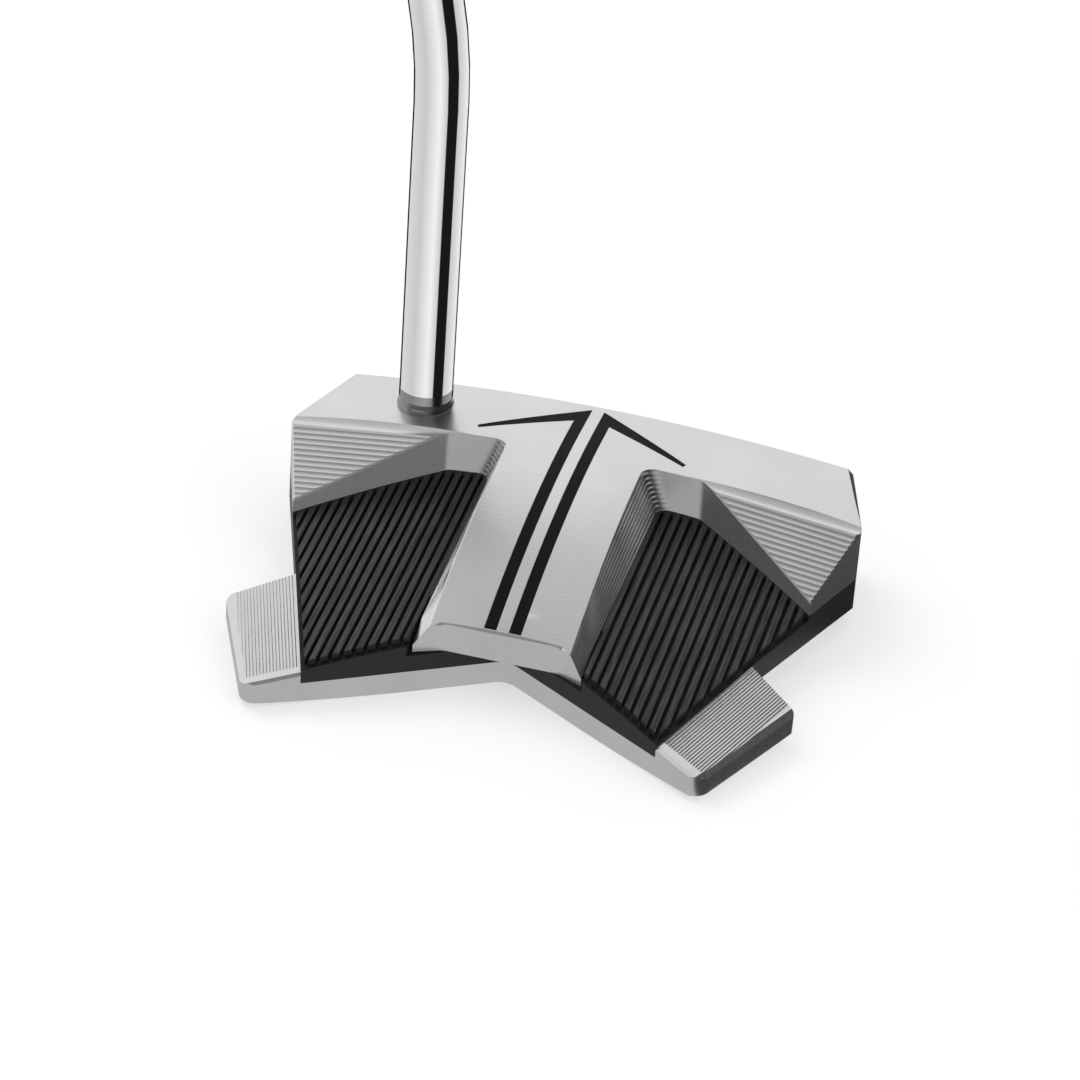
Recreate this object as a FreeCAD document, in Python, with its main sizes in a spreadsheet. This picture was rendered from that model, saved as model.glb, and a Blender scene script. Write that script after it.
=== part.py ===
import FreeCAD, Part
import Sketcher
import math
import os

# Mallet putter, complete club. Millimetres, +X toe, +Y towards the target, +Z up.
# Origin: on the ground under the centre of the face's leading edge.

DIMENSIONS = [
    # head outline in plan, toe half (the heel half mirrors it)
    ("nose_x", 44.9, "outline corner ahead of the face, across"),
    ("nose_y", 1.05, "outline corner ahead of the face, along"),
    ("side_x", 50.8, "widest point, across"),
    ("side_y", -18.4, "widest point, along"),
    ("tail_x", 30.1, "rear corner of the core, across"),
    ("tail_y", -74.45, "rear corner of the core, along"),
    ("vee_y", -55.83, "apex of the rear vee before rounding"),
    ("vee_round", 3.7, "radius at the apex of the rear vee"),
    ("side_round", 0.9, "radius at the widest corner"),
    ("form_depth", 6.0, "how far construction forms reach below the ground"),
    ("form_height", 40.0, "height of construction forms"),
    # top of the head
    ("top_height", 23.0, "height of the top line over the middle of the face"),
    ("crown_radius", 363.0, "heel to toe crown of the top"),
    ("fall_start_y", -9.2, "where the bridge starts to fall"),
    ("fall_radius", 135.4, "front to back curve of the bridge"),
    ("fall_end_y", -75.0, "rear end of the top form"),
    ("loft_deg", 3.0, "loft of the face"),
    # sole
    ("sole_flat", 12.0, "half width of the flat of the sole"),
    ("sole_radius", 310.0, "camber of the sole outside the flat"),
    # upper surface of the core
    ("floor_height", 17.32, "height of the core's crowned upper surface at y = 0"),
    ("floor_slope", 0.105, "fall of that surface towards the rear"),
    ("floor_radius", 225.0, "heel to toe crown of that surface"),
    ("seam_thick", 0.3, "damping gasket between the face body and the core"),
    ("rib_height", 0.9, "height of the ribs over the pocket floor"),
    ("rib_pitch", 1.70, "rib spacing"),
    ("rib_width", 1.08, "rib width"),
    ("rib_first", 15.3, "first rib, across"),
    ("ledge_side", 0.55, "plain ledge outside the ribs"),
    ("ledge_rear", 1.35, "plain ledge behind the ribs"),
    # silver face body
    ("bar_thick", 9.0, "depth of the full-height face bar"),
    ("wall_y", -17.1, "front wall of the pockets"),
    ("wall_x", 22.6, "where the front wall turns outwards, across"),
    ("wing_wall_x", 55.0, "outer end of the slanted pocket wall, across"),
    ("wing_wall_y", -38.1, "outer end of the slanted pocket wall, along"),
    ("bridge_top", 12.1, "half width of the bridge top"),
    ("foot_front", 15.0, "half width of the bridge foot at the front"),
    ("foot_rear", 14.45, "half width of the bridge foot at the rear"),
    ("bridge_back_y", -66.0, "rear end of the bridge loft"),
    ("end_y", -61.25, "flat part of the bridge end face"),
    ("end_flat", 9.8, "half width of the flat part of the end face"),
    ("end_sweep", 0.478, "how the end face runs back towards its tips"),
    ("end_round", 5.0, "round between the flat and the swept part"),
    ("end_break", 0.10, "broken edge above the end face"),
    ("flank_low", 3.0, "least height of the bridge flank"),
    ("tongue_z", 7.15, "underside of the bridge tongue"),
    ("tongue_y", -52.5, "front of the bridge tongue"),
    ("inner_round", 2.6, "corner between bridge and pocket wall"),
    ("step_deep", 0.11, "hollow of one milling pass"),
    ("edge_break", 0.5, "broken edge along the bridge top"),
    ("wall_break", 0.20, "broken edge along the pocket wall"),
    ("ledge_fall", 0.0494, "outward fall of the broken edge over the short pocket wall"),
    ("wall_round", 2.2, "corner between the front and the slanted pocket wall"),
    ("side_break", 0.35, "broken edge along the sides of the head"),
    ("under_break", 1.2, "chamfer under the side of the core"),
    # sloping corner facets
    ("facet_height", 22.45, "facet height at its inner peak"),
    ("facet_x", 22.5, "inner peak of the facet, across"),
    ("facet_y", -17.05, "inner peak of the facet, along"),
    ("facet_fall", 0.588, "fall of the facet to the rear"),
    ("facet_lean", 0.080, "fall of the facet outwards"),
    ("cove_radius", 3.0, "cove between the top and the facet"),
    ("ridge_sweep", 0.035, "how the ridges run back towards the outside"),
    ("ridge_first", 2.25, "first ridge, down the facet from its peak"),
    ("ridge_pitch", 0.93, "spacing of the milled ridges"),
    ("ridge_cutter", 1.0, "radius of the ridge cutter"),
    ("ridge_depth", 0.12, "depth of the ridge grooves"),
    # sight line, painted recesses
    ("line_inner", 1.08, "inner edge of each sight line"),
    ("line_outer", 3.17, "outer edge of each sight line"),
    ("line_front_y", -2.5, "front of the arrow"),
    ("line_back_y", -60.75, "rear end of the sight lines"),
    ("barb_x", 18.6, "tip of the arrow barb, across"),
    ("barb_y", -13.7, "tip of the arrow barb, along"),
    ("barb_root_y", -7.1, "inner corner between barb and line"),
    ("paint_floor", 0.35, "depth of the paint recess"),
    ("paint_gap", 0.06, "paint surface below the metal"),
    # sole frame
    ("frame_top", 4.0, "top of the sole frame plate"),
    ("frame_front_y", -17.5, "front edge of the plate"),
    ("frame_front_x", 48.3, "plate front corner, across"),
    ("frame_step_x", 37.6, "plate corner where the wing starts, inner"),
    ("root_front_x", 39.73, "wing root at the core's side, front, across"),
    ("root_front_y", -48.25, "wing root at the core's side, front, along"),
    ("wing_front_x", 49.28, "front outer corner of the wing, across"),
    ("wing_front_y", -56.66, "front outer corner of the wing, along"),
    ("wing_back_x", 38.6, "rear outer corner of the wing, across"),
    ("wing_back_y", -79.68, "rear outer corner of the wing, along"),
    ("wing_root_high", 7.6, "wing height at the root, front"),
    ("wing_front_high", 6.0, "wing height at the front outer corner"),
    ("wing_back_high", 4.65, "wing height at the rear outer corner"),
    ("wing_round_front", 1.3, "vertical round at the wing's front corner"),
    ("wing_round_back", 2.4, "vertical round at the wing's rear corner"),
    ("mill_pitch", 0.55, "spacing of the fine grooves on the wings"),
    ("mill_cutter", 0.35, "radius of the fine groove cutter"),
    ("mill_depth", 0.11, "depth of the fine grooves"),
    ("mill_count", 18, "number of fine grooves"),
    ("window_front_y", -27.0, "window in the plate, front edge"),
    ("window_front_x", 24.0, "window in the plate, front half width"),
    ("window_back_y", -45.0, "window in the plate, rear edge"),
    ("window_back_x", 13.0, "window in the plate, rear half width"),
    ("relief_wide", 0.8, "relief groove under the wing root, width"),
    ("relief_deep", 0.6, "relief groove under the wing root, depth"),
    # weights and screws
    ("weight_x", 27.0, "sole weight, across"),
    ("weight_y", -58.5, "sole weight, along"),
    ("weight_radius", 7.0, "sole weight radius"),
    ("weight_bottom", 0.75, "sole weight lower face"),
    ("weight_height", 5.1, "sole weight height"),
    ("key_radius", 2.3, "hexagon key recess in the weight, across corners / 2"),
    ("key_depth", 2.6, "hexagon key recess depth"),
    ("screw_radius", 1.5, "screw shank radius"),
    ("screw_head", 2.9, "screw head radius"),
    ("screw_cone", 1.5, "height of the countersunk head"),
    ("screw_key", 1.0, "screw key recess radius"),
    ("front_screw_x", 38.0, "front screw, across"),
    ("front_screw_y", -21.6, "front screw, along"),
    ("front_screw_long", 14.0, "front screw length"),
    ("rear_screw_x", 8.0, "rear screw, across"),
    ("rear_screw_y", -56.5, "rear screw, along"),
    ("rear_screw_long", 10.6, "rear screw length"),
    ("plate_screw_x", 28.5, "plate screw, across"),
    ("plate_screw_y", -38.0, "plate screw, along"),
    ("plate_screw_long", 8.0, "plate screw length"),
    ("screw_sink", 0.35, "screw head below the sole"),
    # hosel, shaft and grip
    ("shaft_x", -29.6, "shaft centre at the head, across"),
    ("shaft_y", -8.6, "shaft centre at the head, along"),
    ("collar_height", 3.5, "satin collar under the shaft"),
    ("collar_radius", 4.75, "collar radius"),
    ("post_radius", 3.95, "spigot inside the shaft"),
    ("post_long", 22.0, "spigot length above the collar"),
    ("stem_radius", 3.5, "stem pressed into the head"),
    ("stem_long", 6.3, "stem length"),
    ("tip_radius", 4.7, "shaft outer radius at the tip"),
    ("tube_wall", 0.62, "shaft wall"),
    ("bend_z", 80.0, "height where the shaft starts to bend"),
    ("bend_radius", 95.0, "radius of the bend"),
    ("bend_deg", 20.0, "lean of the shaft after the bend, lie 70 degrees"),
    ("parallel_long", 150.0, "parallel run after the bend"),
    ("taper_long", 597.4, "tapered run up to the butt"),
    ("butt_radius", 7.3, "shaft outer radius under the grip"),
    ("grip_long", 267.0, "grip length"),
    ("grip_tip", 9.2, "grip half width at the tip"),
    ("grip_mid", 12.0, "grip half width at the middle"),
    ("grip_butt", 13.6, "grip half width at the butt"),
    ("grip_flat", 0.74, "flat front of the grip over its half width"),
    ("tape_thick", 0.25, "grip tape thickness"),
    ("cap_thick", 3.0, "end plug flange"),
    ("bond_gap", 0.13, "adhesive between spigot and shaft"),
]

NODES = []
doc = FreeCAD.newDocument("MalletPutter")
dims = doc.addObject("Spreadsheet::Sheet", "dims")
for row, (alias, value, meaning) in enumerate(DIMENSIONS, start=1):
    dims.set("A%d" % row, meaning)
    dims.set("B%d" % row, str(value))
    dims.setAlias("B%d" % row, alias)
doc.recompute()
SIZE = {alias: float(value) for alias, value, meaning in DIMENSIONS}


def size(alias):
    """Number held under an alias in the sheet."""
    return SIZE[alias]


def named(alias, factor=1.0, shift=0.0):
    """A coordinate as the pair (expression, number): factor * alias + shift."""
    text = "%s * dims.%s + %s" % (factor, alias, shift)
    return text, factor * SIZE[alias] + shift


def fixed(number):
    """A coordinate that no dimension drives."""
    return None, float(number)


def new_body(name):
    body = doc.addObject("PartDesign::Body", name)
    body.Label = name
    return body


def new_sketch(body, role, name, lift=None):
    """Sketch on one of the body's origin planes, shifted along its normal by an expression."""
    sketch = body.newObject("Sketcher::SketchObject", name)
    for feature in body.Origin.OriginFeatures:
        if feature.Role == role:
            sketch.AttachmentSupport = [(feature, "")]
    sketch.MapMode = "FlatFace"
    if lift is not None:
        sketch.setExpression("AttachmentOffset.Base.z", lift)
    return sketch


def place(sketch, geometry, corner, spot):
    """Dimension one point of a sketch from the sketch origin."""
    for axis, (text, number) in zip(("DistanceX", "DistanceY"), spot):
        index = sketch.addConstraint(Sketcher.Constraint(axis, -1, 1, geometry, corner, number))
        if text is not None:
            sketch.setExpression("Constraints[%d]" % index, text)


def vector(spot):
    return FreeCAD.Vector(spot[0][1], spot[1][1], 0)


def polygon(sketch, spots):
    """Closed polygon with every corner dimensioned."""
    first = sketch.GeometryCount
    count = len(spots)
    for step in range(count):
        start, end = vector(spots[step]), vector(spots[(step + 1) % count])
        sketch.addGeometry(Part.LineSegment(start, end), False)
    for step in range(count):
        nxt = first + (step + 1) % count
        sketch.addConstraint(Sketcher.Constraint("Coincident", first + step, 2, nxt, 1))
    for step, spot in enumerate(spots):
        place(sketch, first + step, 1, spot)


def circle(sketch, spot, radius):
    """Circle with a dimensioned centre and radius."""
    text, number = radius
    index = sketch.addGeometry(Part.Circle(vector(spot), FreeCAD.Vector(0, 0, 1), number), False)
    place(sketch, index, 3, spot)
    spot_index = sketch.addConstraint(Sketcher.Constraint("Radius", index, number))
    if text is not None:
        sketch.setExpression("Constraints[%d]" % spot_index, text)


def pad(body, sketch, length, midplane=False):
    feature = body.newObject("PartDesign::Pad", body.Name + "_pad")
    feature.Profile = sketch
    feature.Midplane = midplane
    feature.setExpression("Length", length)
    sketch.Visibility = False
    body.Tip = feature
    return feature


def negated(coordinate):
    text, number = coordinate
    return (None if text is None else "-(%s)" % text), -number


def plan_body(name, outlines, low=None, length="dims.form_height"):
    """Vertical prism over one or more outlines, from an optional height."""
    body = new_body(name)
    sketch = new_sketch(body, "XY_Plane", name + "_plan", low or "-dims.form_depth")
    for outline in outlines:
        polygon(sketch, outline)
    pad(body, sketch, length)
    return body


def combine(kind, name, shapes):
    """Part boolean with the operands kept as history."""
    item = doc.addObject(kind, name)
    if kind == "Part::Cut":
        item.Base, item.Tool = shapes
    else:
        item.Shapes = shapes
    return item


def common(name, *shapes):
    return combine("Part::MultiCommon", name, list(shapes))


def fuse(name, *shapes):
    return combine("Part::MultiFuse", name, list(shapes))


def cut(name, base, tool):
    return combine("Part::Cut", name, (base, tool))


def mirror(name, source):
    """Heel-side mirror image of a toe-side shape."""
    item = doc.addObject("Part::Mirroring", name)
    item.Source = source
    item.Base = FreeCAD.Vector(0, 0, 0)
    item.Normal = FreeCAD.Vector(1, 0, 0)
    return item


def box(name, low, high):
    """Axis-aligned box between two corners given as (expression, number) triples."""
    item = doc.addObject("Part::Box", name)
    corner = FreeCAD.Vector(low[0][1], low[1][1], low[2][1])
    item.Placement = FreeCAD.Placement(corner, FreeCAD.Rotation())
    spans = ("Length", "Width", "Height")
    for axis, span, start, end in zip("xyz", spans, low, high):
        begin = start[0] or str(start[1])
        finish = end[0] or str(end[1])
        item.setExpression("Placement.Base." + axis, begin)
        item.setExpression(span, "(%s) - (%s)" % (finish, begin))
    return item


def drum(name, radius, height, spot, direction=(0, 0, 1)):
    """Cylinder from a point along a direction."""
    item = doc.addObject("Part::Cylinder", name)
    item.setExpression("Radius", radius)
    item.setExpression("Height", height)
    turn = FreeCAD.Rotation(FreeCAD.Vector(0, 0, 1), FreeCAD.Vector(*direction))
    item.Placement = FreeCAD.Placement(FreeCAD.Vector(*spot), turn)
    return item


def slab(name, origin, along, normal, reach=70.0, thick=30.0):
    """Box that fills the side of a plane its normal points to."""
    origin, along, normal = [FreeCAD.Vector(*v) for v in (origin, along, normal)]
    turn = FreeCAD.Rotation(along, FreeCAD.Vector(), normal, "ZXY")
    item = doc.addObject("Part::Box", name)
    item.Length, item.Width, item.Height = 2 * reach, 2 * reach, thick
    corner = origin - turn.multVec(FreeCAD.Vector(reach, reach, 0))
    item.Placement = FreeCAD.Placement(corner, turn)
    return item


def upward(first, second):
    """Unit normal of two directions, pointing up."""
    normal = FreeCAD.Vector(*first).cross(FreeCAD.Vector(*second))
    normal = normal if normal.z > 0 else -normal
    return normal.normalize()


def group(name, members):
    """Separate solids under one node."""
    item = doc.addObject("Part::Compound", name)
    item.Links = members
    return item


def node(item, name):
    """Register a finished piece for export under its file name."""
    item.Label = name
    NODES.append(item)
    return item


# ---------------------------------------------------------------- head forms
EDGE = [
    (named("nose_x"), named("nose_y")),
    (named("side_x"), named("side_y")),
    (named("tail_x"), named("tail_y")),
]
APEX = (fixed(0), named("vee_y"))
outline = EDGE + [APEX] + [(negated(x), y) for x, y in reversed(EDGE)]


def vertical_edges(shape, spots):
    """Names of the vertical edges that stand over the given plan positions."""
    found = []
    for index, edge in enumerate(shape.Edges, start=1):
        ends = [vertex.Point for vertex in edge.Vertexes]
        if len(ends) != 2 or abs(ends[0].z - ends[1].z) < 3:
            continue
        for x, y in spots:
            if all(math.hypot(point.x - x, point.y - y) < 0.05 for point in ends):
                found.append("Edge%d" % index)
    return found


def round_edges(body, base, spots, radius):
    """Fillet the vertical edges of a prism."""
    doc.recompute()
    feature = body.newObject("PartDesign::Fillet", body.Name + "_round_" + radius)
    feature.Base = (base, vertical_edges(base.Shape, spots))
    feature.setExpression("Radius", "dims." + radius)
    body.Tip = feature
    return feature


plan_form = plan_body("plan_form", [outline])
side_spots = [(size("side_x"), size("side_y")), (-size("side_x"), size("side_y"))]
rounded = round_edges(plan_form, plan_form.Tip, [(0, size("vee_y"))], "vee_round")
round_edges(plan_form, rounded, side_spots, "side_round")


def top_form_body(name, lower="0"):
    """Everything below the top surface, lowered by an expression: a turned solid."""
    body = new_body(name)
    sketch = new_sketch(body, "YZ_Plane", name + "_profile")
    drop = 0.0 if lower == "0" else size(lower)
    drop_text = "0" if lower == "0" else "dims." + lower
    high = size("top_height") - drop
    start = size("fall_start_y")
    radius = size("fall_radius")
    end = size("fall_end_y")
    end_z = high - radius + math.sqrt(radius ** 2 - (start - end) ** 2)
    half = math.asin((start - end) / radius)
    centre = FreeCAD.Vector(start, high - radius, 0)
    front = FreeCAD.Vector(5, high, 0)
    knee = FreeCAD.Vector(start, high, 0)
    back = FreeCAD.Vector(end, end_z, 0)
    low_back = FreeCAD.Vector(end, -10, 0)
    low_front = FreeCAD.Vector(5, -10, 0)
    arc = Part.ArcOfCircle(
        Part.Circle(centre, FreeCAD.Vector(0, 0, 1), radius), math.pi / 2, math.pi / 2 + half)
    sketch.addGeometry(Part.LineSegment(front, knee), False)
    sketch.addGeometry(arc, False)
    sketch.addGeometry(Part.LineSegment(back, low_back), False)
    sketch.addGeometry(Part.LineSegment(low_back, low_front), False)
    sketch.addGeometry(Part.LineSegment(low_front, front), False)
    for first, first_end, second, second_end in (
            (1, 2, 2, 1), (2, 2, 3, 1), (3, 2, 4, 1), (4, 2, 0, 1)):
        sketch.addConstraint(
            Sketcher.Constraint("Coincident", first, first_end, second, second_end))
    sketch.addConstraint(Sketcher.Constraint("Tangent", 0, 2, 1, 1))
    top_text = "dims.top_height - %s" % drop_text
    place(sketch, 0, 1, (fixed(5), (top_text, high)))
    place(sketch, 0, 2, (("dims.fall_start_y", start), (top_text, high)))
    index = sketch.addConstraint(Sketcher.Constraint("Radius", 1, radius))
    sketch.setExpression("Constraints[%d]" % index, "dims.fall_radius")
    index = sketch.addConstraint(Sketcher.Constraint("DistanceX", -1, 1, 1, 2, end))
    sketch.setExpression("Constraints[%d]" % index, "dims.fall_end_y")
    place(sketch, 3, 1, (("dims.fall_end_y", end), fixed(-10)))
    place(sketch, 3, 2, (fixed(5), fixed(-10)))
    turn_about(body, sketch, size("top_height") - size("crown_radius"),
               "dims.top_height - dims.crown_radius", 20)
    return body


def turn_about(body, sketch, height, text, angle):
    """Revolve the profile about an axis parallel to Y at a given height."""
    start, end = FreeCAD.Vector(-60, height, 0), FreeCAD.Vector(10, height, 0)
    line = sketch.addGeometry(Part.LineSegment(start, end), True)
    place(sketch, line, 1, (fixed(-60), (text, height)))
    place(sketch, line, 2, (fixed(10), (text, height)))
    feature = body.newObject("PartDesign::Revolution", body.Name + "_turn")
    feature.Profile = sketch
    feature.ReferenceAxis = (sketch, ["Axis0"])
    feature.Angle = angle
    feature.Midplane = True
    sketch.Visibility = False
    body.Tip = feature


def core_top_body(name, lower=None):
    """Everything below the core's crowned, falling upper surface."""
    body = new_body(name)
    sketch = new_sketch(body, "YZ_Plane", name + "_profile")
    drop = 0.0 if lower is None else size(lower)
    drop_text = "0" if lower is None else "dims." + lower
    level = size("floor_height") - drop
    slope = size("floor_slope")
    base = "dims.floor_height - %s" % drop_text
    spots = [
        (fixed(5), (base + " + 5 * dims.floor_slope", level + 5 * slope)),
        (fixed(-90), (base + " - 90 * dims.floor_slope", level - 90 * slope)),
        (fixed(-90), fixed(-10)),
        (fixed(5), fixed(-10)),
    ]
    polygon(sketch, spots)
    turn_about(body, sketch, size("floor_height") - size("floor_radius"),
               "dims.floor_height - dims.floor_radius", 32)
    return body


def sole_form_body(name, lift=0.0):
    """Everything above the sole: a flat with cambered flanks, optionally raised."""
    body = new_body(name)
    sketch = new_sketch(body, "XZ_Plane", name + "_profile", "-60")
    flat, radius, reach = size("sole_flat"), size("sole_radius"), 62.0
    rise = radius - math.sqrt(radius ** 2 - (reach - flat) ** 2)
    half = math.asin((reach - flat) / radius)
    up = FreeCAD.Vector(0, 0, 1)
    right = Part.ArcOfCircle(
        Part.Circle(FreeCAD.Vector(flat, radius + lift, 0), up, radius),
        -math.pi / 2, -math.pi / 2 + half)
    left = Part.ArcOfCircle(
        Part.Circle(FreeCAD.Vector(-flat, radius + lift, 0), up, radius),
        -math.pi / 2 - half, -math.pi / 2)
    corners = [
        FreeCAD.Vector(-flat, lift, 0), FreeCAD.Vector(flat, lift, 0),
        FreeCAD.Vector(reach, rise + lift, 0), FreeCAD.Vector(reach, 40, 0),
        FreeCAD.Vector(-reach, 40, 0), FreeCAD.Vector(-reach, rise + lift, 0)]
    sketch.addGeometry(Part.LineSegment(corners[0], corners[1]), False)
    sketch.addGeometry(right, False)
    sketch.addGeometry(Part.LineSegment(corners[2], corners[3]), False)
    sketch.addGeometry(Part.LineSegment(corners[3], corners[4]), False)
    sketch.addGeometry(Part.LineSegment(corners[4], corners[5]), False)
    sketch.addGeometry(left, False)
    for first, first_end, second, second_end in (
            (1, 2, 2, 1), (2, 2, 3, 1), (3, 2, 4, 1), (4, 2, 5, 1)):
        sketch.addConstraint(
            Sketcher.Constraint("Coincident", first, first_end, second, second_end))
    sketch.addConstraint(Sketcher.Constraint("Tangent", 0, 2, 1, 1))
    sketch.addConstraint(Sketcher.Constraint("Tangent", 5, 2, 0, 1))
    place(sketch, 0, 1, (("-dims.sole_flat", -flat), fixed(lift)))
    place(sketch, 0, 2, (("dims.sole_flat", flat), fixed(lift)))
    for arc in (1, 5):
        index = sketch.addConstraint(Sketcher.Constraint("Radius", arc, radius))
        sketch.setExpression("Constraints[%d]" % index, "dims.sole_radius")
    place(sketch, 2, 2, (fixed(reach), fixed(40)))
    place(sketch, 4, 1, (fixed(-reach), fixed(40)))
    sketch.addConstraint(Sketcher.Constraint("Vertical", 2))
    sketch.addConstraint(Sketcher.Constraint("Vertical", 4))
    pad(body, sketch, "160")
    return body


top_form = top_form_body("top_form")
paint_floor_form = top_form_body("paint_floor_form", "paint_floor")
paint_skin_form = top_form_body("paint_skin_form", "paint_gap")
core_top_form = core_top_body("core_top_form")
seam_low_form = core_top_body("seam_low_form", "seam_thick")
pocket_floor_form = core_top_body("pocket_floor_form", "rib_height")
sole_form = sole_form_body("sole_form")

face_form = new_body("face_form")
face_sketch = new_sketch(face_form, "YZ_Plane", "face_profile")
loft = math.tan(math.radians(size("loft_deg")))
polygon(face_sketch, [
    (("10 * tan(dims.loft_deg * 1 deg)", 10 * loft), fixed(-10)),
    (("-40 * tan(dims.loft_deg * 1 deg)", -40 * loft), fixed(40)),
    (fixed(-110), fixed(40)),
    (fixed(-110), fixed(-10)),
])
pad(face_form, face_sketch, "140", midplane=True)

head_block = common("head_block", plan_form, top_form, sole_form, face_form)
behind_bar = box(
    "behind_bar",
    (fixed(-70), fixed(-110), fixed(-10)),
    (fixed(70), named("bar_thick", -1.0), fixed(45)))
under_seam = common("under_seam", core_top_form, behind_bar)

# ---------------------------------------------------------------- face body
front_half = [
    (fixed(55), fixed(3)),
    (named("wing_wall_x"), named("wing_wall_y")),
    (named("wall_x"), named("wall_y")),
]
front_plan = plan_body(
    "front_plan", [front_half + [(negated(x), y) for x, y in reversed(front_half)]])

wall_spots = [(size("wall_x"), size("wall_y")), (-size("wall_x"), size("wall_y"))]
round_edges(front_plan, front_plan.Tip, wall_spots, "wall_round")


def top_height_at(y):
    """Height of the top line at a distance along the centre line."""
    reach = max(0.0, size("fall_start_y") - y)
    radius = size("fall_radius")
    return size("top_height") - radius + math.sqrt(radius ** 2 - reach ** 2)


STATIONS = (-12.0, -24.0, -36.0, -48.0, -58.0, size("bridge_back_y"))
BREAK_STATIONS = [-12.0 - 3.0 * step for step in range(19)]
PASSES = 9       # milling passes between the floor and the top
OVERRUN = 2      # passes that run on above the top


def flank_at(y):
    """Foot half width, floor height, pass height and lean of the bridge flank at a station."""
    share = (y + 20.0) / (-62.0 + 20.0)
    foot = size("foot_front") + (size("foot_rear") - size("foot_front")) * share
    foot_text = "dims.foot_front + (dims.foot_rear - dims.foot_front) * %s" % share
    high = top_height_at(y)
    low = size("floor_height") + size("floor_slope") * y - 0.5 * foot ** 2 / size("floor_radius")
    low = min(low, high - size("flank_low"))
    lean = (foot - size("bridge_top")) / (high - low)
    return foot, foot_text, low, (high - low) / PASSES, lean


def loft_through(body, sketches):
    """Ruled loft through a row of section sketches."""
    feature = body.newObject("PartDesign::AdditiveLoft", body.Name + "_loft")
    feature.Profile = sketches[0]
    feature.Sections = sketches[1:]
    feature.Ruled = True
    body.Tip = feature
    return body


def bridge_body(name):
    """Bridge with leaning, pass-milled flanks over a straight foot."""
    body = new_body(name)
    sections = []
    for index, y in enumerate(STATIONS):
        foot, foot_text, low, step, lean = flank_at(y)
        sketch = new_sketch(body, "XZ_Plane", "%s_section_%d" % (name, index), str(-y))
        half = [((foot_text, foot), ("dims.tongue_z", size("tongue_z")))]
        for number in range(2 * (PASSES + OVERRUN) + 1):
            rise = number * step / 2
            hollow = size("step_deep") if number % 2 else 0.0
            text = "%s - %s" % (foot_text, lean * rise)
            if hollow:
                text += " - dims.step_deep"
            half.append(((text, foot - lean * rise - hollow), fixed(low + rise)))
        mirror_half = [(negated(x), z) for x, z in half]
        polygon(sketch, half + list(reversed(mirror_half)))
        sketch.Visibility = False
        sections.append(sketch)
    return loft_through(body, sections)


def break_body(name):
    """Envelope that breaks the long top edges of the bridge."""
    body = new_body(name)
    sections = []
    for index, y in enumerate(BREAK_STATIONS):
        high = top_height_at(y)
        top_x, step = size("bridge_top"), size("edge_break")
        inner = ("dims.bridge_top - dims.edge_break - 2 * 1.5", top_x - step - 3.0)
        outer = ("dims.bridge_top + 8", top_x + 8)
        rise = ("%s + 1.5" % high, high + 1.5)
        fall = ("%s - (8 + dims.edge_break) / 2" % high, high - (8 + step) / 2)
        sketch = new_sketch(body, "XZ_Plane", "%s_section_%d" % (name, index), str(-y))
        half = [(outer, fixed(-4)), (outer, fall), (inner, rise)]
        polygon(sketch, half + [(negated(x), z) for x, z in reversed(half)])
        sketch.Visibility = False
        sections.append(sketch)
    return loft_through(body, sections)


bridge_form = bridge_body("bridge_form")
end_half = [
    (fixed(20), fixed(-95)),
    (fixed(20), ("dims.end_y - (20 - dims.end_flat) * dims.end_sweep",
                 size("end_y") - (20 - size("end_flat")) * size("end_sweep"))),
    (named("end_flat"), named("end_y")),
]
end_plan = plan_body("end_plan", [end_half + [(negated(x), y) for x, y in reversed(end_half)]])
end_spots = [(size("end_flat"), size("end_y")), (-size("end_flat"), size("end_y"))]
round_edges(end_plan, end_plan.Tip, end_spots, "end_round")


def top_at(x, y):
    """Height of the top surface."""
    return top_height_at(y) - 0.5 * x ** 2 / size("crown_radius")


def edge_slab(name, first, second, out, step):
    """Slab that breaks the straight edge between two top points, facing out and up."""
    start = FreeCAD.Vector(first[0], first[1], top_at(*first))
    finish = FreeCAD.Vector(second[0], second[1], top_at(*second))
    out = FreeCAD.Vector(out[0], out[1], 0).normalize()
    middle = (start + finish) * 0.5 - out * step
    return slab(name, middle, finish - start, out + FreeCAD.Vector(0, 0, 1))


flat_x, end_y, sweep = size("end_flat"), size("end_y"), size("end_sweep")
tip_x = size("bridge_top")
tip_y = end_y - (tip_x - flat_x) * sweep
end_middle = edge_slab("end_middle", (-flat_x, end_y), (flat_x, end_y), (0, -1), size("end_break"))
end_toe = edge_slab(
    "end_toe", (flat_x, end_y), (tip_x, tip_y), (-sweep, -1), size("end_break"))
end_zone = box("end_zone", (fixed(-20), fixed(-95), fixed(8)), (fixed(20), fixed(-55), fixed(40)))
end_bevels = common("end_bevels", end_middle, end_toe, mirror("end_heel", end_toe), end_zone)
end_cutter = fuse("end_cutter", end_plan, end_bevels)
break_form = break_body("break_form")
bridge_block = common("bridge_block", bridge_form, top_form, break_form)
bridge_cut = cut("bridge_cut", bridge_block, end_cutter)
tongue_box = box(
    "tongue_box",
    (fixed(-30), fixed(-90), fixed(0)),
    (fixed(30), named("tongue_y"), fixed(40)))
tongue = common("tongue", bridge_cut, tongue_box)
bridge_upper = cut("bridge_upper", bridge_cut, under_seam)
front_block = common("front_block", head_block, front_plan)
front_upper = cut("front_upper", front_block, under_seam)


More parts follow.
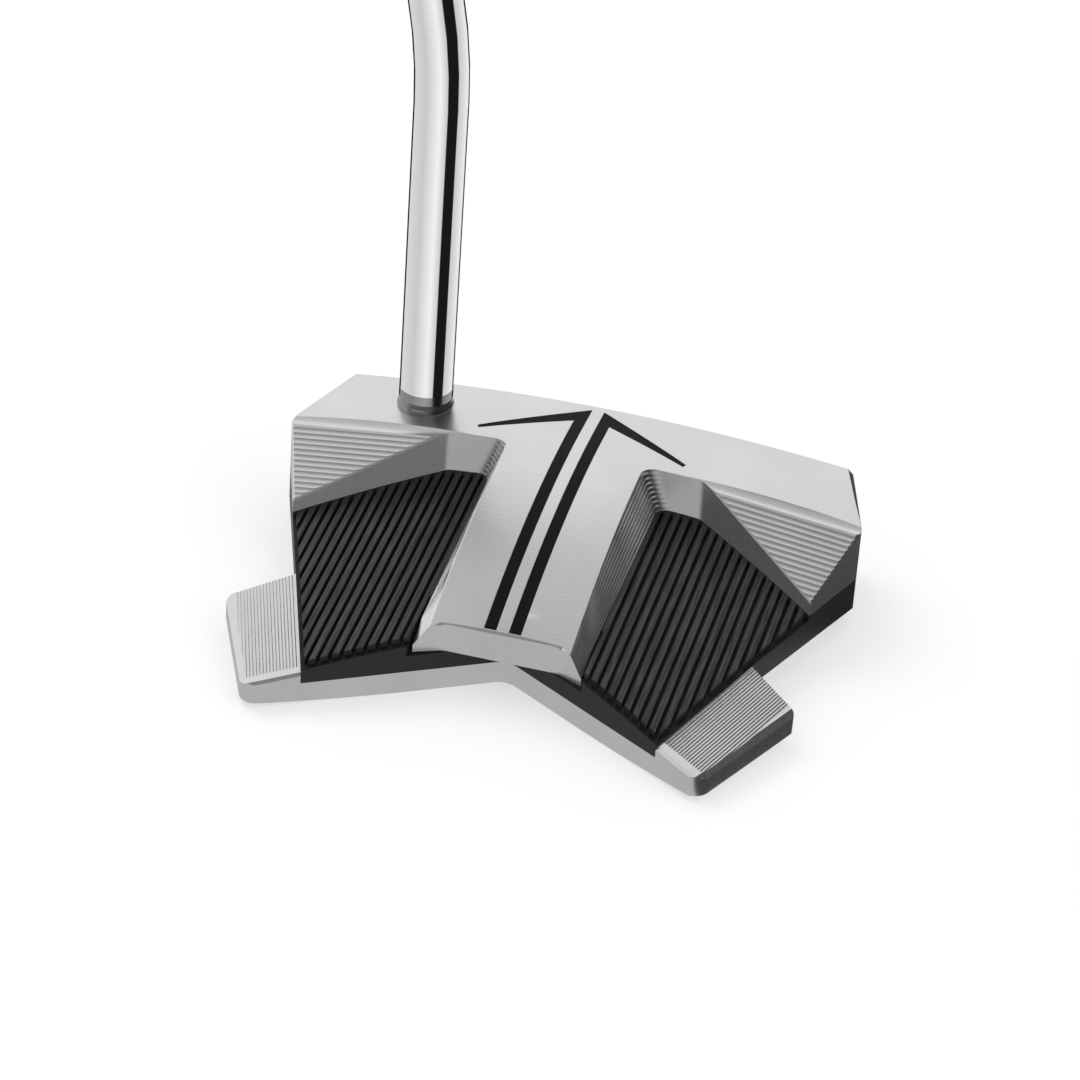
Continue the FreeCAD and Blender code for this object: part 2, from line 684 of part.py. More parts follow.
def corner_filler(name):
    """Rounded inner corner of the toe pocket, stepped like the flank it joins."""
    wall, radius = size("wall_y"), size("inner_round")
    foot, foot_text, low, step, lean = flank_at(wall - radius)
    layers = []
    for number in range(PASSES + 1):
        base = low + number * step - 0.3
        edge = foot - lean * (number + 0.5) * step
        block = box(
            "%s_block_%d" % (name, number),
            (fixed(edge - 1.5), fixed(wall - radius), fixed(base)),
            (fixed(edge + radius), fixed(wall + 0.5), fixed(base + step)))
        hole = drum(
            "%s_hole_%d" % (name, number), "dims.inner_round", "4",
            (edge + radius, wall - radius, base - 1))
        layers.append(cut("%s_layer_%d" % (name, number), block, hole))
    return fuse(name, *layers)


corner_toe = corner_filler("corner_toe")
corner_pair = fuse("corner_pair", corner_toe, mirror("corner_heel", corner_toe))
corner_block = cut("corner_block", common("corner_trim", corner_pair, head_block), under_seam)
silver_raw = fuse("silver_raw", front_upper, bridge_upper, tongue, corner_block)

facet_out = (1.0, 0.0, -size("facet_lean"))
facet_back = (0.0, -1.0, -size("facet_fall"))
facet_peak = (size("facet_x"), size("facet_y"), size("facet_height"))
facet_normal = upward(facet_out, facet_back)
facet_slab = slab("facet_slab", facet_peak, facet_out, facet_normal)
outer_box = box(
    "outer_box",
    (named("wall_x"), fixed(-45), fixed(-5)),
    (fixed(70), fixed(5), fixed(45)))
facet_cutter = common("facet_cutter", facet_slab, outer_box)



def facet_at(x, y):
    """Height of the facet plane."""
    out, back = x - size("facet_x"), size("facet_y") - y
    return size("facet_height") - size("facet_lean") * out - size("facet_fall") * back


# smooth cove between the top and the ridges of the facet
cove_points = []
for cove_x, upper_y, lower_y in ((20.0, -16.95, -18.4), (54.0, -17.70, -19.50)):
    upper = FreeCAD.Vector(cove_x, upper_y, top_at(cove_x, upper_y))
    lower = FreeCAD.Vector(cove_x, lower_y, facet_at(cove_x, lower_y))
    chord = upper - lower
    cove_normal = upward(facet_out, chord)
    lift = math.sqrt(size("cove_radius") ** 2 - chord.Length ** 2 / 4)
    cove_points.append((upper + lower) * 0.5 + cove_normal * lift)
cove_start, cove_finish = cove_points
cove = drum("cove", "dims.cove_radius", "34", cove_start, cove_finish - cove_start)
facet_run = FreeCAD.Vector(*facet_out) + FreeCAD.Vector(*facet_back) * size("ridge_sweep")
ridge_tools = []
RIDGE_COUNT = 15
for number in range(RIDGE_COUNT):
    back = size("ridge_first") + number * size("ridge_pitch")
    centre = FreeCAD.Vector(*facet_peak) + FreeCAD.Vector(*facet_back) * back
    lift = size("ridge_cutter") - size("ridge_depth")
    centre = centre + facet_normal * lift - facet_run * 6
    ridge_tools.append(drum("ridge_%02d" % number, "dims.ridge_cutter", "44", centre, facet_run))
ridge_fan = fuse("ridge_fan", *ridge_tools)
ridge_cutter = common("ridge_cutter_toe", ridge_fan, outer_box)
wall_run = FreeCAD.Vector(
    size("wing_wall_x") - size("wall_x"), size("wing_wall_y") - size("wall_y"), 0)
wall_run.z = -(facet_normal.x * wall_run.x + facet_normal.y * wall_run.y) / facet_normal.z
wall_run.normalize()
wall_out = FreeCAD.Vector(wall_run.y, -wall_run.x, 0).normalize()
break_peak = FreeCAD.Vector(*facet_peak) - wall_out * size("wall_break")
wall_slab = slab("wall_slab", break_peak, wall_run, wall_out * 1.2 + facet_normal)
wall_break = common("wall_break_toe", wall_slab, outer_box)
ledge_run = (1, 0, -size("ledge_fall"))
ledge_peak = (size("wall_x"), size("wall_y") + 0.3, size("facet_height"))
ledge_slab = slab("ledge_slab", ledge_peak, ledge_run, (size("ledge_fall"), -1, 1))
ledge_zone = box(
    "ledge_zone",
    (fixed(size("bridge_top") + size("inner_round")), fixed(-20), fixed(15)),
    (named("wall_x"), fixed(-10), fixed(30)))
ledge_break = common("ledge_break_toe", ledge_slab, ledge_zone)
nose = (size("nose_x"), size("nose_y"))
flank = (size("side_x"), size("side_y"))
side_normal = (nose[1] - flank[1], flank[0] - nose[0])
side_slab = edge_slab("side_slab", nose, flank, side_normal, size("side_break"))
side_break = common("side_break_toe", side_slab, outer_box)
rear_normal = FreeCAD.Vector(flank[1] - size("tail_y"), size("tail_x") - flank[0], 0).normalize()
rear_edge = rear_normal.cross(facet_normal)
both_out = rear_normal + facet_normal
corner = FreeCAD.Vector(flank[0], flank[1], facet_at(*flank))
corner = corner - both_out * (size("side_break") * 0.3)
rear_slab = slab("rear_slab", corner, rear_edge, both_out)
rear_break = common("rear_break_toe", rear_slab, outer_box)
toe_facet = fuse(
    "toe_facet",
    facet_cutter, ridge_cutter, wall_break, ledge_break, side_break, rear_break, cove)
heel_facet = mirror("heel_facet", toe_facet)

# sight line: two lines and an arrow, cut as shallow recesses and filled with paint
half_arrow = [
    (named("line_inner"), named("line_front_y")),
    (named("barb_x"), named("barb_y")),
    (named("barb_x", 1.0, -0.35), named("barb_y", 1.0, -0.8)),
    (named("line_outer"), named("barb_root_y")),
    (named("line_outer"), named("line_back_y")),
    (named("line_inner"), named("line_back_y")),
]
toe_line_plan = plan_body("toe_line_plan", [half_arrow])
heel_line_plan = plan_body("heel_line_plan", [[(negated(x), y) for x, y in half_arrow]])
line_plans = fuse("line_plans", toe_line_plan, heel_line_plan)
paint_recess = cut("paint_recess", line_plans, paint_floor_form)

collar_z = top_height_at(size("shaft_y")) - 0.5 * size("shaft_x") ** 2 / size("crown_radius")
stem_hole = drum(
    "stem_hole", "dims.stem_radius", "dims.stem_long + 10",
    (size("shaft_x"), size("shaft_y"), collar_z - size("stem_long")))
stem_hole.setExpression("Placement.Base.x", "dims.shaft_x")
stem_hole.setExpression("Placement.Base.y", "dims.shaft_y")


def sole_at(x):
    """Height of the sole at a distance across."""
    reach = max(0.0, abs(x) - size("sole_flat"))
    return size("sole_radius") - math.sqrt(size("sole_radius") ** 2 - reach ** 2)


SCREW_SETS = ("front", "rear", "plate")


def screw_spots(family):
    x, y = size(family + "_screw_x"), size(family + "_screw_y")
    return [(-x, y), (x, y)]


def screw_base(x):
    return sole_at(abs(x) - size("screw_head")) + size("screw_sink")


thread_tools = []
for family in SCREW_SETS:
    for index, (x, y) in enumerate(screw_spots(family)):
        depth = "dims.%s_screw_long" % family
        name = "%s_thread_%d" % (family, index)
        thread_tools.append(drum(name, "dims.screw_radius", depth, (x, y, screw_base(x))))
threads = fuse("threads", *thread_tools)

collar_seat = drum(
    "collar_seat", "dims.collar_radius + 0.2", "8",
    (size("shaft_x"), size("shaft_y"), collar_z - 0.45))
face_tools = fuse(
    "face_tools", toe_facet, heel_facet, paint_recess, stem_hole, collar_seat, threads)
face_body = node(cut("face_body", silver_raw, face_tools), "face_body")

# ---------------------------------------------------------------- sight line paint
for side, plan in (("toe", toe_line_plan), ("heel", heel_line_plan)):
    filled = common("%s_paint_block" % side, plan, paint_skin_form)
    node(cut("sight_line_%s" % side, filled, paint_floor_form), "sight_line_%s" % side)

# ---------------------------------------------------------------- damping gasket
foot_front = fuse("foot_front_plan", front_plan, bridge_form)
seam_block = common("seam_block", head_block, foot_front, under_seam)
tongue_slot = box(
    "tongue_slot",
    (named("foot_front", -1.0, 0.0), fixed(-90), named("tongue_z")),
    (named("foot_front", 1.0, 0.0), named("tongue_y"), fixed(40)))
seam_tools = fuse("seam_tools", seam_low_form, tongue_slot, threads)
gasket = node(cut("damping_gasket", seam_block, seam_tools), "damping_gasket")

# ---------------------------------------------------------------- sole frame
plate_half = [
    (named("frame_front_x"), named("frame_front_y")),
    (named("frame_step_x"), named("root_front_y")),
    (named("root_front_x"), named("root_front_y")),
    (named("tail_x"), named("tail_y")),
]
plate_outline = plate_half + [(negated(x), y) for x, y in reversed(plate_half)]
plate_plan = plan_body(
    "plate_plan", [plate_outline], length="dims.form_depth + dims.frame_top")
window_half = [
    (named("window_front_x"), named("window_front_y")),
    (named("window_back_x"), named("window_back_y")),
]
window_plan = plan_body("window_plan", [
    window_half + [(negated(x), y) for x, y in reversed(window_half)]])
plate_recess = common("plate_recess", plate_plan, plan_form)

wing_outline = [
    (named("root_front_x", 1.0, 0.0), named("root_front_y")),
    (named("wing_front_x"), named("wing_front_y")),
    (named("wing_back_x"), named("wing_back_y")),
    (named("tail_x"), named("tail_y")),
]
wing_plan = plan_body("wing_plan", [wing_outline], length="dims.form_depth + 14")
wing_spots = (
    ([(size("wing_front_x"), size("wing_front_y"))], "wing_round_front"),
    ([(size("wing_back_x"), size("wing_back_y"))], "wing_round_back"))
for spots, radius in wing_spots:
    round_edges(wing_plan, wing_plan.Tip, spots, radius)

root = FreeCAD.Vector(size("root_front_x"), size("root_front_y"), size("wing_root_high"))
tip = FreeCAD.Vector(size("wing_front_x"), size("wing_front_y"), size("wing_front_high"))
heel = FreeCAD.Vector(size("wing_back_x"), size("wing_back_y"), size("wing_back_high"))
wing_up = upward(tip - root, heel - root)
outer_run = FreeCAD.Vector(heel - tip).normalize()
outward = outer_run.cross(wing_up)
outward = outward if outward.x > 0 else -outward
rear_run = FreeCAD.Vector(
    size("wing_back_x") - size("tail_x"), size("wing_back_y") - size("tail_y"), 0)
slope = -(rear_run.x * wing_up.x + rear_run.y * wing_up.y) / wing_up.z
rear_run = FreeCAD.Vector(rear_run.x, rear_run.y, slope).normalize()
rearward = rear_run.cross(wing_up)
rearward = rearward if rearward.y < 0 else -rearward
wing_slab = slab("wing_slab", root, tip - root, wing_up)
outer_bevel = slab(
    "outer_bevel", tip - outward * 1.15, outer_run, outward * 0.5 + wing_up, 60, 10)
rear_bevel = slab(
    "rear_bevel", heel - rearward * 0.5, rear_run, rearward * 0.8 + wing_up, 60, 10)

side_run = FreeCAD.Vector(
    size("tail_x") - size("side_x"), size("tail_y") - size("side_y"), 0).normalize()
slope = -(side_run.x * wing_up.x + side_run.y * wing_up.y) / wing_up.z
groove_run = FreeCAD.Vector(side_run.x, side_run.y, slope).normalize()
groove_across = groove_run.cross(wing_up)
groove_across = groove_across if groove_across.x > 0 else -groove_across
mill_tools = []
for number in range(int(size("mill_count"))):
    centre = root + groove_across * (0.45 + number * size("mill_pitch"))
    centre = centre + wing_up * (size("mill_cutter") - size("mill_depth")) - groove_run * 9
    mill_tools.append(
        drum("mill_%02d" % number, "dims.mill_cutter", "60", centre, groove_run))
mill_fan = fuse("mill_fan", *mill_tools)
smooth_margin = slab("smooth_margin", heel - rearward * 2.1, rear_run, rearward)
mill_cutter = cut("mill_cutter_toe", mill_fan, smooth_margin)

wing_tools = fuse("wing_tools", wing_slab, outer_bevel, rear_bevel, mill_cutter)
wing_toe = cut("wing_toe", wing_plan, wing_tools)
wing_heel = mirror("wing_heel", wing_toe)
plate = cut("plate", plate_recess, window_plan)

relief_turn = (side_run.x, side_run.y, 0)
relief_toe = slab(
    "relief_toe", (size("tail_x"), size("tail_y"), size("relief_deep") + sole_at(35)),
    relief_turn, (0, 0, -1), 40, 12)
relief_toe.setExpression("Width", "dims.relief_wide")
relief_heel = mirror("relief_heel", relief_toe)


def weight_drums(label, radius, low, height):
    """Cylinders on the weight axes."""
    tools = []
    for index, sign in enumerate((-1, 1)):
        spot = (sign * size("weight_x"), size("weight_y"), low)
        tools.append(drum("%s_%d" % (label, index), radius, height, spot))
    return tools


def screw(name, spot, length):
    """Countersunk screw, head down, turned about its own axis."""
    body = new_body(name)
    sketch = new_sketch(body, "XZ_Plane", name + "_profile")
    key, head, shank = size("screw_key"), size("screw_head"), size("screw_radius")
    cone, long = size("screw_cone"), size(length)
    polygon(sketch, [
        (fixed(0), fixed(0.9)),
        (("dims.screw_key", key), fixed(0.9)),
        (("dims.screw_key", key), fixed(0)),
        (("dims.screw_head", head), fixed(0)),
        (("dims.screw_head", head), fixed(0.25)),
        (("dims.screw_radius", shank), ("dims.screw_cone", cone)),
        (("dims.screw_radius", shank), ("dims.%s" % length, long)),
        (fixed(0), ("dims.%s" % length, long)),
    ])
    feature = body.newObject("PartDesign::Revolution", name + "_turn")
    feature.Profile = sketch
    feature.ReferenceAxis = (sketch, ["V_Axis"])
    feature.Angle = 360
    sketch.Visibility = False
    body.Tip = feature
    body.Placement = FreeCAD.Placement(FreeCAD.Vector(*spot), FreeCAD.Rotation())
    return body


screws = []
for family in SCREW_SETS:
    members = []
    for index, (x, y) in enumerate(screw_spots(family)):
        name = "%s_screw_%d" % (family, index)
        members.append(screw(name, (x, y, screw_base(x)), family + "_screw_long"))
    screws.append(node(group("%s_screws" % family, members), "%s_screws" % family))

screw_seats = []
for family in SCREW_SETS:
    for index, (x, y) in enumerate(screw_spots(family)):
        name = "%s_seat_%d" % (family, index)
        low = screw_base(x)
        screw_seats.append(drum(name, "dims.screw_head", "6.25", (x, y, low - 6)))
        cone = doc.addObject("Part::Cone", name + "_cone")
        cone.setExpression("Radius1", "dims.screw_head")
        cone.setExpression("Radius2", "dims.screw_radius")
        cone.setExpression("Height", "dims.screw_cone - 0.25")
        cone.Placement = FreeCAD.Placement(FreeCAD.Vector(x, y, low + 0.25), FreeCAD.Rotation())
        screw_seats.append(cone)

weight_low = size("weight_bottom")
weight_bores = weight_drums("weight_bore", "dims.weight_radius", -10, "30")
frame_metal = fuse("frame_metal", plate, wing_toe, wing_heel)
frame_form = common("frame_form", frame_metal, sole_form)
frame_tools = fuse(
    "frame_tools", threads, relief_toe, relief_heel, *(screw_seats + weight_bores))
sole_frame = node(cut("sole_frame", frame_form, frame_tools), "sole_frame")

# ---------------------------------------------------------------- sole weights
for side, sign in (("heel", -1), ("toe", 1)):
    name = "%s_weight" % side
    body = new_body(name)
    sketch = new_sketch(body, "XY_Plane", name + "_plan")
    circle(sketch, (fixed(0), fixed(0)), ("dims.weight_radius", size("weight_radius")))
    disc = pad(body, sketch, "dims.weight_height")
    key_sketch = new_sketch(body, "XY_Plane", name + "_key")
    corners = []
    for step in range(6):
        angle = math.radians(60 * step)
        corners.append((
            ("dims.key_radius * %s" % round(math.cos(angle), 9),
             size("key_radius") * math.cos(angle)),
            ("dims.key_radius * %s" % round(math.sin(angle), 9),
             size("key_radius") * math.sin(angle))))
    polygon(key_sketch, corners)
    recess = body.newObject("PartDesign::Pocket", name + "_recess")
    recess.Profile = key_sketch
    recess.setExpression("Length", "dims.key_depth")
    recess.Reversed = True
    key_sketch.Visibility = False
    body.Tip = recess
    body.Placement = FreeCAD.Placement(
        FreeCAD.Vector(sign * size("weight_x"), size("weight_y"), weight_low),
        FreeCAD.Rotation())
    node(body, name)

# ---------------------------------------------------------------- core
core_block = common("core_block", plan_form, sole_form, core_top_form, behind_bar)
inset_half = [
    (named("nose_x", 1.0, -0.6), named("nose_y")),
    (("dims.side_x - dims.ledge_side * 1.067", size("side_x") - size("ledge_side") * 1.067),
     named("side_y")),
    (("dims.tail_x - dims.ledge_side * 1.067 + dims.ledge_rear * 0.3",
      size("tail_x") - size("ledge_side") * 1.067 + size("ledge_rear") * 0.3),
     ("dims.tail_y + dims.ledge_rear * 1.0", size("tail_y") + size("ledge_rear"))),
]
inset_apex = (fixed(0), ("dims.vee_y + dims.ledge_rear * 1.176",
                         size("vee_y") + size("ledge_rear") * 1.176))
rib_plan = plan_body("rib_plan", [
    inset_half + [inset_apex] + [(negated(x), y) for x, y in reversed(inset_half)]])
rib_bars = []
for number in range(18):
    for sign, side in ((-1, "heel"), (1, "toe")):
        bar = doc.addObject("Part::Box", "rib_%s_%02d" % (side, number))
        bar.setExpression("Length", "dims.rib_width")
        bar.Width = 90
        bar.Height = 40
        bar.setExpression(
            "Placement.Base.x",
            "%d * (dims.rib_first + %d * dims.rib_pitch) - dims.rib_width / 2" % (sign, number))
        bar.Placement.Base.y = -90
        rib_bars.append(bar)
rib_bank = fuse("rib_bank", *rib_bars)
ribs = common("ribs", rib_plan, rib_bank)
pocket_skin = cut("pocket_skin", core_block, pocket_floor_form)
kept = fuse("kept", ribs, front_plan, bridge_form)
groove_cutter = cut("groove_cutter", pocket_skin, kept)
seam_cutter = cut("seam_cutter", common("seam_plan", core_block, foot_front), seam_low_form)
weight_pockets = weight_drums(
    "weight_pocket", "dims.weight_radius + 0.1", -10,
    "dims.weight_bottom + dims.weight_height + 10.1")
edge_run = FreeCAD.Vector(-side_run.x, -side_run.y, 0)
edge_out = FreeCAD.Vector(edge_run.y, -edge_run.x, 0)
side_low = sole_at(size("side_x"))
tail_low = sole_at(size("tail_x"))
edge_run.z = (side_low - tail_low) / math.hypot(
    size("side_x") - size("tail_x"), size("side_y") - size("tail_y"))
break_spot = (size("side_x"), size("side_y"), side_low + size("under_break"))
under_toe = slab("under_toe", break_spot, edge_run, edge_out - FreeCAD.Vector(0, 0, 1), 90, 20)
under_heel = mirror("under_heel", under_toe)
under_bevels = fuse("under_bevels", under_toe, under_heel)
core_tools = fuse(
    "core_tools", groove_cutter, seam_cutter, tongue_slot, plate_plan, under_bevels, threads,
    *weight_pockets)
core = node(cut("core", core_block, core_tools), "core")

# ---------------------------------------------------------------- hosel post
post = new_body("hosel_post")
post_sketch = new_sketch(post, "XZ_Plane", "hosel_post_profile")
polygon(post_sketch, [
    (fixed(0), ("-dims.stem_long", -size("stem_long"))),
    (("dims.stem_radius", size("stem_radius")), ("-dims.stem_long", -size("stem_long"))),
    (("dims.stem_radius", size("stem_radius")), fixed(-0.45)),
    (("dims.collar_radius + 0.2", size("collar_radius") + 0.2), fixed(-0.45)),
    (("dims.collar_radius + 0.2", size("collar_radius") + 0.2), fixed(0.3)),
    (("dims.collar_radius + 0.05", size("collar_radius") + 0.05), fixed(0.55)),
    (("dims.collar_radius", size("collar_radius")), fixed(0.9)),
    (("dims.collar_radius", size("collar_radius")), ("dims.collar_height", size("collar_height"))),
    (("dims.post_radius", size("post_radius")), ("dims.collar_height", size("collar_height"))),
    (("dims.post_radius", size("post_radius")),
     ("dims.collar_height + dims.post_long - 0.8", size("collar_height") + size("post_long") - 0.8)),
    (("dims.post_radius - 0.8", size("post_radius") - 0.8),
     ("dims.collar_height + dims.post_long", size("collar_height") + size("post_long"))),
    (fixed(0), ("dims.collar_height + dims.post_long", size("collar_height") + size("post_long"))),
])
post_turn = post.newObject("PartDesign::Revolution", "hosel_post_turn")
post_turn.Profile = post_sketch
post_turn.ReferenceAxis = (post_sketch, ["V_Axis"])
post_turn.Angle = 360
post_sketch.Visibility = False
post.Tip = post_turn
post_foot = FreeCAD.Vector(size("shaft_x"), size("shaft_y"), collar_z)
post.Placement = FreeCAD.Placement(post_foot, FreeCAD.Rotation())
node(post, "hosel_post")

# ---------------------------------------------------------------- shaft
bend = math.radians(size("bend_deg"))
start_z = collar_z + size("collar_height")
shaft = new_body("shaft")
shaft_plane = "-dims.shaft_y"
path = new_sketch(shaft, "XZ_Plane", "shaft_path", shaft_plane)
turn_x = size("shaft_x") - size("bend_radius") * (1 - math.cos(bend))
turn_z = size("bend_z") + size("bend_radius") * math.sin(bend)
TURN = (
    ("dims.shaft_x - dims.bend_radius * (1 - cos(dims.bend_deg * 1 deg))", turn_x),
    ("dims.bend_z + dims.bend_radius * sin(dims.bend_deg * 1 deg)", turn_z))


def along_axis(run, out):
    """Point beside the leaning part of the shaft: run along its axis, out to the toe side."""
    run_text, run_size = run
    out_text, out_size = out
    x = turn_x - run_size * math.sin(bend) + out_size * math.cos(bend)
    z = turn_z + run_size * math.cos(bend) + out_size * math.sin(bend)
    sine, cosine = "sin(dims.bend_deg * 1 deg)", "cos(dims.bend_deg * 1 deg)"
    x_text = "%s - (%s) * %s + (%s) * %s" % (TURN[0][0], run_text, sine, out_text, cosine)
    z_text = "%s + (%s) * %s + (%s) * %s" % (TURN[1][0], run_text, cosine, out_text, sine)
    return (x_text, x), (z_text, z)


parallel = ("dims.parallel_long", size("parallel_long"))
knee = (("dims.shaft_x", size("shaft_x")), ("dims.bend_z", size("bend_z")))
foot = (("dims.shaft_x", size("shaft_x")), fixed(start_z))
far = along_axis(parallel, ("0", 0.0))
centre = FreeCAD.Vector(size("shaft_x") - size("bend_radius"), size("bend_z"), 0)
path.addGeometry(Part.LineSegment(vector(foot), vector(knee)), False)
path.addGeometry(Part.ArcOfCircle(
    Part.Circle(centre, FreeCAD.Vector(0, 0, 1), size("bend_radius")), 0, bend), False)
path.addGeometry(Part.LineSegment(vector(TURN), vector(far)), False)
path.addConstraint(Sketcher.Constraint("Tangent", 0, 2, 1, 1))
path.addConstraint(Sketcher.Constraint("Tangent", 1, 2, 2, 1))
place(path, 0, 1, foot)
place(path, 0, 2, knee)
index = path.addConstraint(Sketcher.Constraint("Radius", 1, size("bend_radius")))
path.setExpression("Constraints[%d]" % index, "dims.bend_radius")
place(path, 2, 2, far)
ring = new_sketch(shaft, "XY_Plane", "shaft_ring", str(start_z))
ring_centre = (("dims.shaft_x", size("shaft_x")), ("dims.shaft_y", size("shaft_y")))
inner_tip = ("dims.tip_radius - dims.tube_wall", size("tip_radius") - size("tube_wall"))
circle(ring, ring_centre, ("dims.tip_radius", size("tip_radius")))
circle(ring, ring_centre, inner_tip)
pipe = shaft.newObject("PartDesign::AdditivePipe", "shaft_pipe")
pipe.Profile = ring
pipe.Spine = path
shaft.Tip = pipe
ring.Visibility = False
path.Visibility = False
taper = new_sketch(shaft, "XZ_Plane", "shaft_taper", shaft_plane)
top_run = ("(dims.parallel_long + dims.taper_long)", size("parallel_long") + size("taper_long"))
inner_butt = ("dims.butt_radius - dims.tube_wall", size("butt_radius") - size("tube_wall"))
polygon(taper, [
    along_axis(parallel, inner_tip),
    along_axis(parallel, ("dims.tip_radius", size("tip_radius"))),
    along_axis(top_run, ("dims.butt_radius", size("butt_radius"))),
    along_axis(top_run, inner_butt),
])
axis_line = taper.addGeometry(Part.LineSegment(vector(TURN), vector(far)), True)
place(taper, axis_line, 1, TURN)
place(taper, axis_line, 2, far)
cone = shaft.newObject("PartDesign::Revolution", "shaft_cone")
cone.Profile = taper
cone.ReferenceAxis = (taper, ["Axis0"])
cone.Angle = 360
shaft.Tip = cone
taper.Visibility = False
node(shaft, "shaft")

# ---------------------------------------------------------------- adhesive in the hosel
bond = new_body("hosel_adhesive")
bond_sketch = new_sketch(bond, "XY_Plane", "hosel_adhesive_ring", str(start_z))
circle(bond_sketch, ring_centre, ("dims.post_radius + dims.bond_gap",
                                  size("post_radius") + size("bond_gap")))
circle(bond_sketch, ring_centre, ("dims.post_radius", size("post_radius")))
pad(bond, bond_sketch, "dims.post_long - 1")
node(bond, "hosel_adhesive")

# ---------------------------------------------------------------- grip, tape and end plug
cover = size("grip_long") - size("cap_thick")
grip_run = size("parallel_long") + size("taper_long") - cover
grip_foot = along_axis((None, grip_run), (None, 0.0))
lean = FreeCAD.Rotation(FreeCAD.Vector(0, 1, 0), -size("bend_deg"))
grip_place = FreeCAD.Placement(
    FreeCAD.Vector(grip_foot[0][1], size("shaft_y"), grip_foot[1][1]), lean)
share = (size("taper_long") - cover) / size("taper_long")
low_radius = size("tip_radius") + (size("butt_radius") - size("tip_radius")) * share
low_text = ("dims.tip_radius + (dims.butt_radius - dims.tip_radius)"
            " * (dims.taper_long - dims.grip_long + dims.cap_thick) / dims.taper_long")
cover_text = "(dims.grip_long - dims.cap_thick)"


def grip_section(body, name, height, width):
    """Round back, flat front and soft corners, at a height along the grip."""
    text, number = width
    sketch = new_sketch(body, "XY_Plane", name, height)
    soft, flat = 0.34, size("grip_flat")
    corner = soft * number
    beta = math.acos((flat - soft) / (1 - soft))
    mid = FreeCAD.Vector((number - corner) * math.cos(beta), (number - corner) * math.sin(beta), 0)
    low = FreeCAD.Vector(mid.x, -mid.y, 0)
    up = FreeCAD.Vector(0, 0, 1)
    front = number * flat
    sketch.addGeometry(Part.ArcOfCircle(
        Part.Circle(FreeCAD.Vector(), up, number), beta, 2 * math.pi - beta), False)
    sketch.addGeometry(Part.ArcOfCircle(Part.Circle(low, up, corner), -beta, 0), False)
    sketch.addGeometry(Part.LineSegment(
        FreeCAD.Vector(front, low.y, 0), FreeCAD.Vector(front, mid.y, 0)), False)
    sketch.addGeometry(Part.ArcOfCircle(Part.Circle(mid, up, corner), 0, beta), False)
    for first, first_end, second, second_end in (
            (0, 2, 1, 1), (1, 2, 2, 1), (2, 2, 3, 1), (3, 2, 0, 1)):
        sketch.addConstraint(
            Sketcher.Constraint("Tangent", first, first_end, second, second_end))
    sketch.addConstraint(Sketcher.Constraint("Coincident", 0, 3, -1, 1))
    sketch.addConstraint(Sketcher.Constraint("Vertical", 2))
    for geometry, factor in ((0, 1.0), (1, soft), (3, soft)):
        index = sketch.addConstraint(
            Sketcher.Constraint("Radius", geometry, number * factor))
        sketch.setExpression("Constraints[%d]" % index, "(%s) * %s" % (text, factor))
    index = sketch.addConstraint(Sketcher.Constraint("DistanceX", -1, 1, 2, 1, front))
    sketch.setExpression("Constraints[%d]" % index, "(%s) * dims.grip_flat" % text)
    sketch.Visibility = False
    return sketch


grip = new_body("grip")
stations = (
    (0.0, "dims.grip_tip", size("grip_tip")),
    (0.08, "dims.grip_tip + 0.6", size("grip_tip") + 0.6),
    (0.45, "dims.grip_mid", size("grip_mid")),
    (0.80, "dims.grip_butt - 0.3", size("grip_butt") - 0.3),
    (1.0, "dims.grip_butt", size("grip_butt")),
)
sections = []
for index, (part_way, text, number) in enumerate(stations):
    height = "dims.grip_long * %s" % part_way
    sections.append(grip_section(grip, "grip_section_%d" % index, height, (text, number)))
grip_loft = grip.newObject("PartDesign::AdditiveLoft", "grip_loft")
grip_loft.Profile = sections[0]
grip_loft.Sections = sections[1:]
grip.Tip = grip_loft
bore = new_sketch(grip, "XZ_Plane", "grip_bore")
tape = size("tape_thick")
polygon(bore, [
    (fixed(0), fixed(0)),
    ((low_text + " + dims.tape_thick", low_radius + tape), fixed(0)),
    (("dims.butt_radius + dims.tape_thick", size("butt_radius") + tape), (cover_text, cover)),
    (("dims.butt_radius + 2.2", size("butt_radius") + 2.2), (cover_text, cover)),
    (("dims.butt_radius + 2.2", size("butt_radius") + 2.2), ("dims.grip_long", size("grip_long"))),
    (fixed(0), ("dims.grip_long", size("grip_long"))),
])
groove = grip.newObject("PartDesign::Groove", "grip_hollow")
groove.Profile = bore
groove.ReferenceAxis = (bore, ["V_Axis"])
groove.Angle = 360
grip.Tip = groove
bore.Visibility = False
grip.Placement = grip_place
node(grip, "grip")

tape_body = new_body("grip_tape")
tape_sketch = new_sketch(tape_body, "XZ_Plane", "grip_tape_profile")
polygon(tape_sketch, [
    ((low_text, low_radius), fixed(0)),
    ((low_text + " + dims.tape_thick", low_radius + tape), fixed(0)),
    (("dims.butt_radius + dims.tape_thick", size("butt_radius") + tape), (cover_text, cover)),
    (("dims.butt_radius", size("butt_radius")), (cover_text, cover)),
])
tape_turn = tape_body.newObject("PartDesign::Revolution", "grip_tape_turn")
tape_turn.Profile = tape_sketch
tape_turn.ReferenceAxis = (tape_sketch, ["V_Axis"])
tape_turn.Angle = 360
tape_body.Tip = tape_turn
tape_sketch.Visibility = False
tape_body.Placement = grip_place
node(tape_body, "grip_tape")

